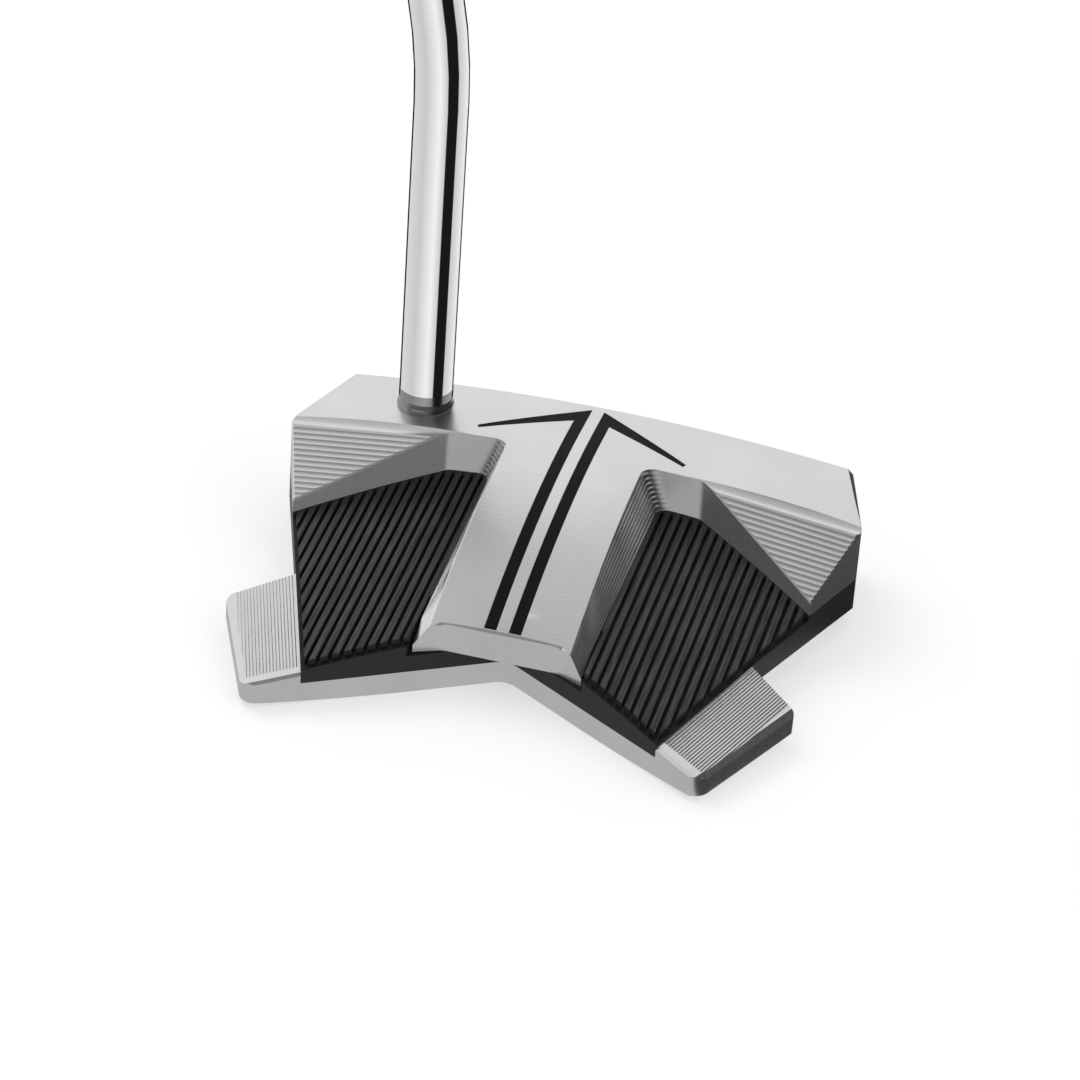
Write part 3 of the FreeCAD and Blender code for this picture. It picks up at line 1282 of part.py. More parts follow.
plug = new_body("grip_plug")
plug_sketch = new_sketch(plug, "XZ_Plane", "grip_plug_profile")
stem = ("dims.butt_radius - dims.tube_wall - 0.03",
        size("butt_radius") - size("tube_wall") - 0.03)
flange = ("dims.butt_radius + 2.2", size("butt_radius") + 2.2)
polygon(plug_sketch, [
    (fixed(0), (cover_text + " - 12", cover - 12)),
    ((stem[0] + " - 1", stem[1] - 1), (cover_text + " - 12", cover - 12)),
    (stem, (cover_text + " - 10", cover - 10)),
    (stem, (cover_text, cover)),
    (flange, (cover_text, cover)),
    (flange, ("dims.grip_long - 0.8", size("grip_long") - 0.8)),
    ((flange[0] + " - 0.8", flange[1] - 0.8), ("dims.grip_long", size("grip_long"))),
    (fixed(1.2), ("dims.grip_long", size("grip_long"))),
    (fixed(1.2), ("dims.grip_long - 2", size("grip_long") - 2)),
    (fixed(0), ("dims.grip_long - 2", size("grip_long") - 2)),
])
plug_turn = plug.newObject("PartDesign::Revolution", "grip_plug_turn")
plug_turn.Profile = plug_sketch
plug_turn.ReferenceAxis = (plug_sketch, ["V_Axis"])
plug_turn.Angle = 360
plug.Tip = plug_turn
plug_sketch.Visibility = False
plug.Placement = grip_place
node(plug, "grip_plug")

# ---------------------------------------------------------------- checks and export
doc.recompute()
faults = [
    item.Name for item in doc.Objects if "Invalid" in item.State or "Error" in item.State]
if faults:
    raise RuntimeError("features failed: %s" % ", ".join(faults))
os.makedirs("parts", exist_ok=True)
for item in NODES:
    shape = item.Shape
    if shape.isNull() or not shape.isValid() or not shape.Solids:
        raise RuntimeError("bad shape: " + item.Label)
    shape.exportStep("parts/%s.step" % item.Label)
    print("%-18s solids %2d faces %4d volume %10.1f mm3" % (
        item.Label, len(shape.Solids), len(shape.Faces), shape.Volume))
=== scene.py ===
import math

import bpy
from mathutils import Matrix, Vector
from mathutils.bvhtree import BVHTree


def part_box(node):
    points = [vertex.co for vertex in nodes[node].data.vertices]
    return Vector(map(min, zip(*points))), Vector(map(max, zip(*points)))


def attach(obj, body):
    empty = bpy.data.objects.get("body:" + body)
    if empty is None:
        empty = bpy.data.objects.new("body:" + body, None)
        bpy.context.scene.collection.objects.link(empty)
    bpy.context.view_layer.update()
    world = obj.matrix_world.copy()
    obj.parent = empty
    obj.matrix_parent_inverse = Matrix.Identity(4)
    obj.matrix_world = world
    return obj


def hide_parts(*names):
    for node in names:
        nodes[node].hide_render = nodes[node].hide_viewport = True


# Mallet putter, looks. Metres, +X toe, +Y towards the target, +Z up.
# The origin is on the ground under the centre of the leading edge.

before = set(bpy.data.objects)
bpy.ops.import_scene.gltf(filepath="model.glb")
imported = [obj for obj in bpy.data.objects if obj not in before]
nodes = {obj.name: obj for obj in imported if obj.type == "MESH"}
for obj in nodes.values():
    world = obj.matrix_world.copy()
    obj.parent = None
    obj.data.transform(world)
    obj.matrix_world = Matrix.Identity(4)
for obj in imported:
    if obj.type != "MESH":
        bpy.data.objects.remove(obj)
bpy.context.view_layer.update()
scene = bpy.context.scene

MM = 0.001

# Camera, behind the head and above it
CAMERA_AZIMUTH = math.radians(13.577)
CAMERA_ELEVATION = math.radians(31.852)
CAMERA_ROLL = math.radians(4.040)
CAMERA_DISTANCE = 763.64 * MM
CAMERA_SHIFT_RIGHT = 9.06 * MM
CAMERA_SHIFT_UP = 1.90 * MM
CAMERA_TARGET = Vector((0, -1.15, -2.0)) * MM
CAMERA_LENS = 143.42

# Reflections that start above this height come from the shaft
SHY_HEIGHT = 23.6 * MM

# Grey levels of the studio: low walls by degrees to the right of the camera's back, high ones
# from the horizon (0) to overhead (1)
LOW_WALLS = [(-180, 0.01), (-141, 0.01), (-138, 0.75), (-60, 0.62), (0, 0.95), (30, 0.62),
             (31.5, 0.01), (77, 0.01), (79, 0.62), (138, 0.92), (143, 0.01), (180, 0.01)]
HIGH_WALLS = [(0.0, 0.80), (0.4, 0.86), (0.53, 0.84), (0.65, 0.58), (0.84, 0.50), (1.0, 0.48)]
BACK_DIM = 0.30
SIDE_DIM = 0.06

# Crowned upper surface of the core, millimetres
CORE_HEIGHT = 17.32
CORE_SLOPE = 0.105
CORE_CROWN = 225.0

# Bridge, millimetres: height of its top line at the front, where that line starts to fall and its
# radius, half width of the foot; passes on a flank, how far out they reach and their depth in
# bump units; pitch of the cross passes on the top
BRIDGE_HEIGHT = 23.0
BRIDGE_FALL = -9.2
BRIDGE_RADIUS = 135.4
BRIDGE_FOOT = 14.75
FLANK_PASSES = 9
FLANK_REACH = 15.4
FLANK_DEPTH = 3.3
CROSS_PITCH = 1.05

# Grip pattern, millimetres: plain end bands, half width of the ribbed front, pitches and depth
GRIP_BAND = 9.0
GRIP_FRONT = 7.4
GRIP_RIB = 3.2
GRIP_LOZENGE = 4.6
GRIP_CELLS = 16
GRIP_DEPTH = 0.40

# Grip skin mesh: rows along it, columns round it, rounding of its ends and inset from the ends
GRIP_ROWS = 640
GRIP_COLUMNS = 168
GRIP_SOFT = 1.0 * MM
GRIP_INSET = 0.02 * MM

# Floor and shade sheet (a painted reflection): half sizes, depths below the sole, the distance
# at which metal still sees the sheet, and the lines (toe side, toe wing) past which it turns
# dark, millimetres
FLOOR_HALF = 6.0
FLOOR_DROP = 0.05 * MM
SHADE_SHEET_HALF = 150 * MM
SHADE_SHEET_DROP = 0.04 * MM
SHADE_SHEET_SIGHT = 60 * MM
SIDE_LINE = 50.5
WING_LINE = (0.907, -0.42, -68.3)


# ---------------------------------------------------------------- node graphs

class Graph:
    """Short calls for building a shader node tree. Lengths inside it are millimetres."""

    def __init__(self, tree):
        self.tree = tree
        tree.nodes.clear()

    def add(self, kind, inputs=None, **settings):
        made = self.tree.nodes.new("ShaderNode" + kind)
        for name, value in settings.items():
            setattr(made, name, value)
        for name, value in (inputs or {}).items():
            self.feed(made.inputs[name], value)
        return made

    def feed(self, socket, value):
        if isinstance(value, bpy.types.NodeSocket):
            self.tree.links.new(value, socket)
        else:
            socket.default_value = value

    def math(self, operation, first, second=0.0, third=0.0, clamp=False):
        made = self.add("Math", {0: first, 1: second, 2: third}, operation=operation)
        made.use_clamp = clamp
        return made.outputs[0]

    def rescale(self, value, low, high, new_low=0.0, new_high=1.0, smooth=True):
        """value from low..high to new_low..new_high, clamped."""
        inputs = {0: value, 1: low, 2: high, 3: new_low, 4: new_high}
        kind = "SMOOTHSTEP" if smooth else "LINEAR"
        return self.add("MapRange", inputs, interpolation_type=kind).outputs[0]

    def blend(self, share, first, second):
        """Mixes two numbers."""
        return self.add("Mix", {0: share, 2: first, 3: second}, data_type="FLOAT").outputs[0]

    def tint(self, colour, strength):
        """A colour times a number."""
        strong = self.add("CombineColor", {0: strength, 1: strength, 2: strength}).outputs[0]
        inputs = {0: 1.0, 6: colour, 7: strong}
        return self.add("Mix", inputs, data_type="RGBA", blend_type="MULTIPLY").outputs[2]

    def places(self):
        """Object coordinates in millimetres."""
        here = self.add("TexCoord").outputs["Object"]
        return self.add("VectorMath", {0: here, 3: 1 / MM}, operation="SCALE").outputs[0]

    def split(self, vector):
        return self.add("SeparateXYZ", {0: vector}).outputs

    def vectors(self, operation, *values):
        inputs = dict(enumerate(values))
        return self.add("VectorMath", inputs, operation=operation).outputs["Vector"]

    def dot(self, first, second):
        made = self.add("VectorMath", {0: first, 1: second}, operation="DOT_PRODUCT")
        return made.outputs["Value"]

    def to_camera(self, way):
        """A direction in the camera's own axes: x right, y up, z forward."""
        return self.add("VectorTransform", {0: way}, vector_type="VECTOR",
                        convert_from="WORLD", convert_to="CAMERA").outputs[0]

    def stretched(self, vector, factors, shift=(0, 0, 0)):
        return self.add("Mapping", {0: vector, 1: shift, 3: factors}).outputs[0]

    def noise(self, vector, scale, detail=2.0, roughness=0.5):
        inputs = {"Vector": vector, "Scale": scale, "Detail": detail, "Roughness": roughness}
        return self.add("TexNoise", inputs).outputs["Fac"]

    def ramp(self, value, stops, smooth=True):
        """A row of (place, grey level) stops."""
        made = self.add("ValToRGB", {0: value})
        made.color_ramp.interpolation = "EASE" if smooth else "LINEAR"
        elements = made.color_ramp.elements
        while len(elements) < len(stops):
            elements.new(0.5)
        for element, (place, level) in zip(elements, stops):
            element.position = place
            element.color = (level, level, level, 1)
        return made.outputs["Color"]

    def bump(self, height, depth_mm, normal=None):
        inputs = {"Height": height, "Distance": depth_mm * MM, "Strength": 1.0}
        if normal is not None:
            inputs["Normal"] = normal
        return self.add("Bump", inputs).outputs[0]

    def sideways(self):
        """How far a face leans towards toe (1) or heel (-1)."""
        return self.split(self.add("NewGeometry").outputs["True Normal"])[0]

    def painted_groove_shade(self, reach_mm, darkest):
        """Painted shade: 1 on open surfaces, down to darkest inside grooves narrower than the
        reach.
        """
        made = self.add("AmbientOcclusion", {"Distance": reach_mm * MM}, samples=8)
        made.only_local = True
        return self.rescale(made.outputs["AO"], 0.45, 0.95, darkest, 1.0, smooth=False)

    def round_edges(self, radius_mm):
        """Broken edges, kept off the fine passes of faces that lean sideways."""
        radius = self.rescale(self.math("ABSOLUTE", self.sideways()), 0.30, 0.45,
                              radius_mm * MM, 0.15 * radius_mm * MM)
        return self.add("Bevel", {"Radius": radius}, samples=4).outputs[0]

    def principled(self, colour, metallic, roughness, normal=None, **others):
        inputs = {"Base Color": colour, "Metallic": metallic, "Roughness": roughness}
        if normal is not None:
            inputs["Normal"] = normal
        inputs.update(others)
        return self.add("BsdfPrincipled", inputs).outputs[0]

    def finish(self, shader):
        self.add("OutputMaterial", {"Surface": shader})

    def studio(self, way):
        """Colour of the studio in a direction."""
        made = self.tree.nodes.new("ShaderNodeGroup")
        made.node_tree = studio_group()
        self.feed(made.inputs[0], way)
        return made.outputs[0]

    def finish_shy(self, shader):
        """A finish the shaft doesn't mirror: to reflections cast from above the head it
        looks like the studio behind it."""
        path = self.add("LightPath").outputs
        geometry = self.add("NewGeometry").outputs
        reach = self.add("VectorMath", {0: geometry["Incoming"], 3: path["Ray Length"]},
                         operation="SCALE").outputs[0]
        start = self.add("VectorMath", {0: geometry["Position"], 1: reach}).outputs[0]
        above = self.math("GREATER_THAN", self.split(start)[2], SHY_HEIGHT)
        share = self.math("MULTIPLY", above, path["Is Glossy Ray"])
        way = self.add("VectorMath", {0: geometry["Incoming"], 3: -1.0},
                       operation="SCALE").outputs[0]
        behind = self.add("Emission", {"Color": self.studio(way), "Strength": 1.0}).outputs[0]
        self.finish(self.add("MixShader", {0: share, 1: shader, 2: behind}).outputs[0])


def studio_group():
    """What metal sees round it, by direction: bright beyond the object, darker overhead, behind
    the camera and to the right, and grey walls with two black flags low down. The studio turns
    about the vertical with the camera."""
    if "studio_walls" in bpy.data.node_groups:
        return bpy.data.node_groups["studio_walls"]
    tree = bpy.data.node_groups.new("studio_walls", "ShaderNodeTree")
    tree.interface.new_socket("Direction", in_out="INPUT", socket_type="NodeSocketVector")
    tree.interface.new_socket("Colour", in_out="OUTPUT", socket_type="NodeSocketColor")
    graph = Graph(tree)
    entry = tree.nodes.new("NodeGroupInput")
    way = graph.to_camera(entry.outputs[0])
    up = graph.to_camera((0, 0, 1))
    flat = graph.vectors("MULTIPLY_ADD", up, graph.math("MULTIPLY", graph.split(up)[2], -1.0),
                         (0, 0, 1))
    forward = graph.vectors("NORMALIZE", flat)
    ahead = graph.dot(way, forward)
    right = graph.dot(way, graph.vectors("CROSS_PRODUCT", up, forward))
    rise = graph.dot(way, up)
    turn = graph.math("ARCTAN2", right, graph.math("MULTIPLY", ahead, -1.0))
    share = graph.rescale(turn, -math.pi, math.pi, smooth=False)
    lift = graph.math("ARCSINE", rise)
    low = graph.ramp(share, [(0.5 + degrees / 360, level) for degrees, level in LOW_WALLS],
                     smooth=False)
    high = graph.ramp(graph.rescale(lift, 0.0, math.pi / 2, smooth=False), HIGH_WALLS)
    back_dim = graph.rescale(ahead, -0.45, -0.05, BACK_DIM, 1.0)
    side_dim = graph.rescale(right, 0.30, 0.50, 1.0, SIDE_DIM)
    high = graph.tint(high, graph.math("MULTIPLY", back_dim, side_dim))
    above = graph.rescale(lift, -0.10, 0.10)
    seen = graph.add("Mix", {0: above, 6: low, 7: high}, data_type="RGBA").outputs[2]
    leave = tree.nodes.new("NodeGroupOutput")
    graph.feed(leave.inputs[0], seen)
    return tree


def material(name):
    """A new material with its graph and its coordinates in millimetres."""
    made = bpy.data.materials.new(name)
    made.use_nodes = True
    graph = Graph(made.node_tree)
    return made, graph, graph.places()


# ------------------------------------------------------------------ materials

def flank_passes(graph, x, y, z):
    """Milling passes up the bridge flanks: 1 on the crests, -1 in the hollows, 0 elsewhere."""
    fallen = graph.math("MAXIMUM", graph.math("SUBTRACT", BRIDGE_FALL, y), 0.0)
    drop = graph.math("MULTIPLY", graph.math("MULTIPLY", fallen, fallen), -0.5 / BRIDGE_RADIUS)
    high = graph.math("ADD", drop, BRIDGE_HEIGHT)
    low = graph.math("MULTIPLY_ADD", y, CORE_SLOPE,
                     CORE_HEIGHT - 0.5 * BRIDGE_FOOT ** 2 / CORE_CROWN)
    climb = graph.math("DIVIDE", graph.math("SUBTRACT", z, low),
                       graph.math("SUBTRACT", high, low))
    waves = graph.math("COSINE", graph.math("MULTIPLY", climb, 2 * math.pi * FLANK_PASSES))
    leaning = graph.rescale(graph.math("ABSOLUTE", graph.sideways()), 0.55, 0.70)
    inside = graph.math("LESS_THAN", graph.math("ABSOLUTE", x), FLANK_REACH)
    on_flank = graph.math("MULTIPLY", leaning, inside)
    on_flank = graph.math("MULTIPLY", on_flank, graph.rescale(y, -13.0, -17.0))
    on_flank = graph.math("MULTIPLY", on_flank, graph.rescale(y, -59.0, -52.0, 0.25, 1.0))
    return graph.math("MULTIPLY", waves, on_flank)


def milled_aluminium():
    """Pale satin metal: bead-blasted grain, faint cross passes on the bridge and crisp ones
    along its flanks. The passes carry painted highlight and painted shade, and the grooves
    painted shade."""
    made, graph, at = material("milled_aluminium")
    x, y, z = graph.split(at)
    grain = graph.noise(at, 7.0, 3.0)
    cloud = graph.noise(at, 0.07, 2.0)
    sway = graph.noise(graph.stretched(at, (0.35, 0.25, 0.0)), 1.0, 1.0)
    phase = graph.math("ADD", y, graph.math("MULTIPLY", sway, 2.4))
    passes = graph.math("SINE", graph.math("MULTIPLY", phase, 2 * math.pi / CROSS_PITCH))
    on_bridge = graph.rescale(y, -12.0, -26.0)
    marks = graph.math("MULTIPLY", passes, graph.math("MULTIPLY", on_bridge, 0.12))
    waves = graph.math("MULTIPLY", flank_passes(graph, x, y, z), FLANK_DEPTH)
    height = graph.math("ADD", graph.math("MULTIPLY", grain, 0.5), marks)
    height = graph.math("ADD", height, waves)
    normal = graph.bump(height, 0.012, graph.round_edges(0.16))
    level = graph.rescale(cloud, 0.3, 0.7, 0.97, 1.03)
    # Painted highlight and shade: the colour follows the cross passes
    level = graph.math("ADD", level, graph.math("MULTIPLY", marks, 0.12))
    # Painted highlight on the flank pass crests, painted shade in their hollows
    level = graph.math("ADD", level, graph.math("MULTIPLY", waves, 0.15))
    # Painted shade inside grooves
    level = graph.math("MULTIPLY", level, graph.painted_groove_shade(0.6, 0.55))
    colour = graph.tint((0.81, 0.81, 0.815, 1), level)
    rough = graph.rescale(grain, 0.3, 0.7, 0.27, 0.33)
    graph.finish_shy(graph.principled(colour, 1.0, rough, normal))
    return made


def milled_steel():
    """Stainless plate with a fine satin finish, a little darker than the body, with painted shade
    in its grooves.
    """
    made, graph, at = material("milled_steel")
    grain = graph.noise(at, 8.0, 3.0)
    streak = graph.noise(graph.stretched(at, (5.0, 0.4, 5.0)), 1.0, 2.0)
    cloud = graph.noise(at, 0.09, 2.0)
    height = graph.math("ADD", grain, graph.math("MULTIPLY", streak, 0.5))
    normal = graph.bump(height, 0.0006, graph.round_edges(0.04))
    level = graph.rescale(cloud, 0.3, 0.7, 0.97, 1.03)
    # Painted shade inside grooves
    level = graph.math("MULTIPLY", level, graph.painted_groove_shade(0.4, 0.30))
    colour = graph.tint((0.80, 0.80, 0.81, 1), level)
    rough = graph.rescale(streak, 0.3, 0.7, 0.26, 0.33)
    graph.finish_shy(graph.principled(colour, 1.0, rough, normal))
    return made


def black_anodised():
    """Black hard-anodised aluminium: lengthwise tool streaks, with painted shade darkening the
    groove floors and their shine. As a painted reflection it glows grey to nearby metal, paler
    where that metal faces the camera."""
    made, graph, at = material("black_anodised")
    x, y, z = graph.split(at)
    crown = graph.math("MULTIPLY", graph.math("MULTIPLY", x, x), -0.5 / CORE_CROWN)
    rib_top = graph.math("ADD", graph.math("MULTIPLY", y, CORE_SLOPE), CORE_HEIGHT)
    depth = graph.math("SUBTRACT", z, graph.math("ADD", rib_top, crown))
    # Painted shade: colour darkens with depth below the crowned rib tops, down to the groove
    # floors; upright walls keep one level
    groove_floor_shade = graph.rescale(depth, -0.75, -0.10, 0.32, 1.0)
    upright = graph.split(graph.add("NewGeometry").outputs["True Normal"])[2]
    wall = graph.rescale(upright, 0.5, 0.7, 1.0, 0.0)
    level = graph.blend(wall, groove_floor_shade, 0.75)
    grain = graph.noise(at, 6.0, 3.0)
    streak = graph.noise(graph.stretched(at, (4.6, 0.12, 0.5)), 1.0, 3.0)
    height = graph.math("ADD", graph.math("MULTIPLY", grain, 0.2), streak)
    normal = graph.bump(height, 0.014, graph.round_edges(0.30))
    marks = graph.blend(wall, graph.rescale(streak, 0.3, 0.7, 0.55, 1.35), 1.0)
    level = graph.math("MULTIPLY", level, marks)
    colour = graph.tint((0.045, 0.045, 0.047, 1), level)
    rough = graph.rescale(grain, 0.3, 0.7, 0.34, 0.44)
    # The painted shade also dims the shine
    shine = {"Specular IOR Level": graph.math("MULTIPLY", level, 0.35)}
    shader = graph.principled(colour, 0.55, rough, normal, **shine)
    # Painted reflection: glossy rays from metal facing the camera see a grey glow here instead of
    # the shaded surface
    incoming = graph.add("NewGeometry").outputs["Incoming"]
    towards = graph.split(incoming)[1]
    facing = graph.rescale(towards, -0.2, 0.05, 0.0, 1.0)
    share = graph.math("MULTIPLY", facing, graph.add("LightPath").outputs["Is Glossy Ray"])
    reflected_grey = graph.tint((1, 1, 1, 1), graph.rescale(towards, 0.45, 0.80, 0.07, 0.42))
    painted_reflection_glow = graph.add("Emission", {"Color": reflected_grey, "Strength": 1.0}).outputs[0]
    graph.finish_shy(graph.add("MixShader", {0: share, 1: shader, 2: painted_reflection_glow}).outputs[0])
    return made


def polished_chrome():
    """Mirror chrome with the faintest haze and hairline polish marks."""
    made, graph, at = material("polished_chrome")
    hair = graph.noise(graph.stretched(at, (9.0, 9.0, 0.2)), 1.0, 2.0)
    haze = graph.noise(at, 0.05, 2.0)
    rough = graph.math("ADD", graph.rescale(haze, 0.3, 0.7, 0.015, 0.035),
                       graph.rescale(hair, 0.62, 0.8, 0.0, 0.03))
    normal = graph.bump(hair, 0.0002)
    level = graph.rescale(haze, 0.3, 0.7, 0.98, 1.0)
    graph.finish(graph.principled(graph.tint((0.93, 0.93, 0.94, 1), level), 1.0, rough, normal))
    return made


def satin_steel(name, colour, roughness, centres=()):
    """Turned steel: rings around the given axes, or plain grain without any."""
    made, graph, at = material(name)
    grain = graph.noise(at, 9.0, 2.0)
    height = graph.math("MULTIPLY", grain, 0.4)
    x, y, z = graph.split(at)
    for centre_x, centre_y in centres:
        dx = graph.math("SUBTRACT", graph.math("ABSOLUTE", x), centre_x)
        dy = graph.math("SUBTRACT", y, centre_y)
        square = graph.math("ADD", graph.math("MULTIPLY", dx, dx), graph.math("MULTIPLY", dy, dy))
        rings = graph.math("SINE", graph.math("MULTIPLY", graph.math("SQRT", square), 22.0))
        height = graph.math("ADD", height, graph.math("MULTIPLY", rings, 0.3))
    normal = graph.bump(height, 0.006, graph.round_edges(0.10))
    level = graph.rescale(graph.noise(at, 0.4, 2.0), 0.3, 0.7, 0.94, 1.05)
    rough = graph.rescale(grain, 0.3, 0.7, roughness - 0.03, roughness + 0.04)
    graph.finish_shy(graph.principled(graph.tint(colour, level), 1.0, rough, normal))
    return made


def line_paint():
    """Black fill paint with a slight orange peel."""
    made, graph, at = material("line_paint")
    peel = graph.noise(at, 1.6, 2.0)
    normal = graph.bump(peel, 0.010, graph.round_edges(0.08))
    colour = graph.tint((0.004, 0.004, 0.004, 1), graph.rescale(peel, 0.3, 0.7, 0.85, 1.2))
    rough = graph.rescale(graph.noise(at, 5.0, 2.0), 0.3, 0.7, 0.45, 0.58)
    shader = graph.principled(colour, 0.0, rough, normal, **{"Specular IOR Level": 0.12})
    graph.finish_shy(shader)
    return made


def dull(name, colour, roughness, scale, depth_mm):
    """Rubber, tape, resin and plain plastic: mottled colour and a matt pebbled skin."""
    made, graph, at = material(name)
    pebble = graph.noise(at, scale, 3.0)
    cloud = graph.noise(at, scale * 0.05, 2.0)
    normal = graph.bump(pebble, depth_mm)
    level = graph.math("MULTIPLY", graph.rescale(pebble, 0.3, 0.7, 0.88, 1.12),
                       graph.rescale(cloud, 0.3, 0.7, 0.93, 1.07))
    rough = graph.rescale(pebble, 0.3, 0.7, roughness - 0.06, roughness + 0.06)
    graph.finish(graph.principled(graph.tint(colour, level), 0.0, rough, normal))
    return made


def dress(name, look):
    """Gives a carried-over node its finished material."""
    for slot in nodes[name].material_slots:
        slot.material = look


# ----------------------------------------------------------------------- grip

def grip_axis():
    """Foot of the grip's axis and its upward direction, from the two ends of the tape tube."""
    points = [vertex.co for vertex in nodes["grip_tape"].data.vertices]
    low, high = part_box("grip_tape")
    lean = Vector((low.x - high.x, 0, high.z - low.z)).normalized()
    reach = [point.dot(lean) for point in points]
    ends = []
    for limit in (min(reach), max(reach)):
        near = [point for point, along in zip(points, reach) if abs(along - limit) < MM]
        ends.append(sum(near, Vector()) / len(near))
    return ends[0], (ends[1] - ends[0]).normalized()


def surface_of(node):
    """Ray-castable copy of a node's mesh."""
    mesh = nodes[node].data
    mesh.calc_loop_triangles()
    points = [vertex.co for vertex in mesh.vertices]
    return BVHTree.FromPolygons(points, [triangle.vertices for triangle in mesh.loop_triangles])


def groove(position, pitch, width, soft):
    """1 in the middle of a groove, 0 on the land between grooves."""
    away = abs((position / pitch) % 1.0 - 0.5) * pitch
    share = (width / 2 + soft - away) / soft
    share = min(1.0, max(0.0, share))
    return share * share * (3 - 2 * share)


def grip_relief(along, length, turn, radius):
    """Depth of the moulded pattern in millimetres. turn is measured from the flat front."""
    ends = min(along - GRIP_BAND, length - GRIP_BAND - along)
    band = max(groove(along - 5.0 + length / 2, length, 0.7, 0.5),
               groove(along + 5.0 + length / 2, length, 0.7, 0.5))
    if ends < 0:
        return GRIP_DEPTH * band
    fade = min(1.0, ends / 1.5)
    arc = turn * radius
    border = groove(abs(arc) - GRIP_FRONT + 50.0, 100.0, 0.6, 0.5)
    if abs(arc) < GRIP_FRONT:
        relief = groove(along + 0.45 * abs(arc), GRIP_RIB, 0.9, 0.6)
        inner = min(1.0, (GRIP_FRONT - abs(arc)) / 1.0)
    else:
        cells = 2 * math.pi * radius / GRIP_CELLS
        slant = arc * GRIP_LOZENGE / cells
        relief = max(groove(along + slant, GRIP_LOZENGE, 0.7, 0.6),
                     groove(along - slant, GRIP_LOZENGE, 0.7, 0.6))
        inner = min(1.0, (abs(arc) - GRIP_FRONT) / 1.0)
    return GRIP_DEPTH * fade * max(border, relief * inner)


def build_grip():
    """Moulded rubber skin: chevron ribs on the flat front, small lozenges round the back."""
    foot, up = grip_axis()
    hit = surface_of("grip")
    spans = [(vertex.co - foot).dot(up) for vertex in nodes["grip"].data.vertices]
    bore = [((vertex.co - foot) - up * (vertex.co - foot).dot(up)).length
            for vertex in nodes["grip"].data.vertices]
    begin, end = min(spans), max(spans)
    mouth = min(size for size, span in zip(bore, spans) if span < begin + 0.1 * MM)
    rim = min(size for size, span in zip(bore, spans) if span > end - 0.1 * MM)
    side = Vector((0, 1, 0))
    across = side.cross(up).normalized()
    middle = foot + up * (begin + end) / 2

    def outward(turn):
        return side * math.cos(turn) + across * math.sin(turn)

    def reach_at(centre, way):
        spot = hit.ray_cast(centre + way * 60 * MM, -way)[0]
        return (spot - centre).length

    coarse = [2 * math.pi * step / 360 for step in range(360)]
    front = min(coarse, key=lambda turn: reach_at(middle, outward(turn)))
    rows, columns = GRIP_ROWS, GRIP_COLUMNS
    rings = []
    length = (end - begin) / MM
    for row in range(rows + 1):
        along = begin + GRIP_INSET + (end - begin - 2 * GRIP_INSET) * row / rows
        centre = foot + up * along
        from_end = min(along - begin, end - along)
        round_off = max(0.0, GRIP_SOFT - from_end)
        tuck = GRIP_SOFT - math.sqrt(max(0.0, GRIP_SOFT ** 2 - round_off ** 2))
        ring = []
        for column in range(columns):
            turn = 2 * math.pi * column / columns
            way = outward(front + turn)
            radius = reach_at(centre, way)
            signed = turn if turn < math.pi else turn - 2 * math.pi
            relief = grip_relief((along - begin) / MM, length, signed, radius / MM) * MM
            ring.append(centre + way * (radius - relief - tuck))
        rings.append(ring)
    first = [foot + up * begin + outward(front + 2 * math.pi * column / columns) * mouth
             for column in range(columns)]
    last = [foot + up * end + outward(front + 2 * math.pi * column / columns) * rim
            for column in range(columns)]
    rings = [first] + rings + [last]
    points = [point for ring in rings for point in ring]
    faces = []
    count = len(rings)
    for lower in range(count):
        upper = (lower + 1) % count
        for column in range(columns):
            after = (column + 1) % columns
            faces.append((lower * columns + column, lower * columns + after,
                          upper * columns + after, upper * columns + column))
    data = bpy.data.meshes.new("grip_skin")
    data.from_pydata(points, [], faces)
    data.polygons.foreach_set("use_smooth", [True] * len(faces))
    data.materials.append(LOOKS["grip"])
    data.update()
    piece = bpy.data.objects.new("grip_skin", data)
    scene.collection.objects.link(piece)
    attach(piece, "root")
    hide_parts("grip")
    return piece


# ---------------------------------------------------------------------- stage

def sheet(name, half, drop):
    """A square sheet just below the sole, staged beside the part."""
    mesh = bpy.data.meshes.new(name)
    corners = [(-half, -half, 0), (half, -half, 0), (half, half, 0), (-half, half, 0)]
    mesh.from_pydata(corners, [], [(0, 1, 2, 3)])
    made = bpy.data.objects.new(name, mesh)
    scene.collection.objects.link(made)
    made.location.z = -drop
    return made


def build_floor():
    """Pale floor, seen by the camera but not mirrored in the metal."""
    floor = sheet("floor", FLOOR_HALF, FLOOR_DROP)
    floor.visible_glossy = False
    made, graph, at = material("floor_paint")
    level = graph.rescale(graph.noise(at, 0.02, 2.0), 0.3, 0.7, 0.985, 1.0)
    colour = graph.tint((0.90, 0.90, 0.90, 1), level)
    shader = graph.add("BsdfPrincipled", {"Base Color": colour, "Roughness": 0.9})
    glow = graph.add("Emission", {"Color": (0.98, 0.98, 0.98, 1), "Strength": 1.0})
    camera = graph.math("MULTIPLY", graph.add("LightPath").outputs["Is Camera Ray"], 0.55)
    paper = graph.add("MixShader", {0: camera, 1: shader.outputs[0], 2: glow.outputs[0]})
    clear = graph.add("BsdfTransparent")
    behind = graph.add("NewGeometry").outputs["Backfacing"]
    mixed = graph.add("MixShader", {0: behind, 1: paper.outputs[0], 2: clear.outputs[0]})
    graph.finish(mixed.outputs[0])
    floor.data.materials.append(made)


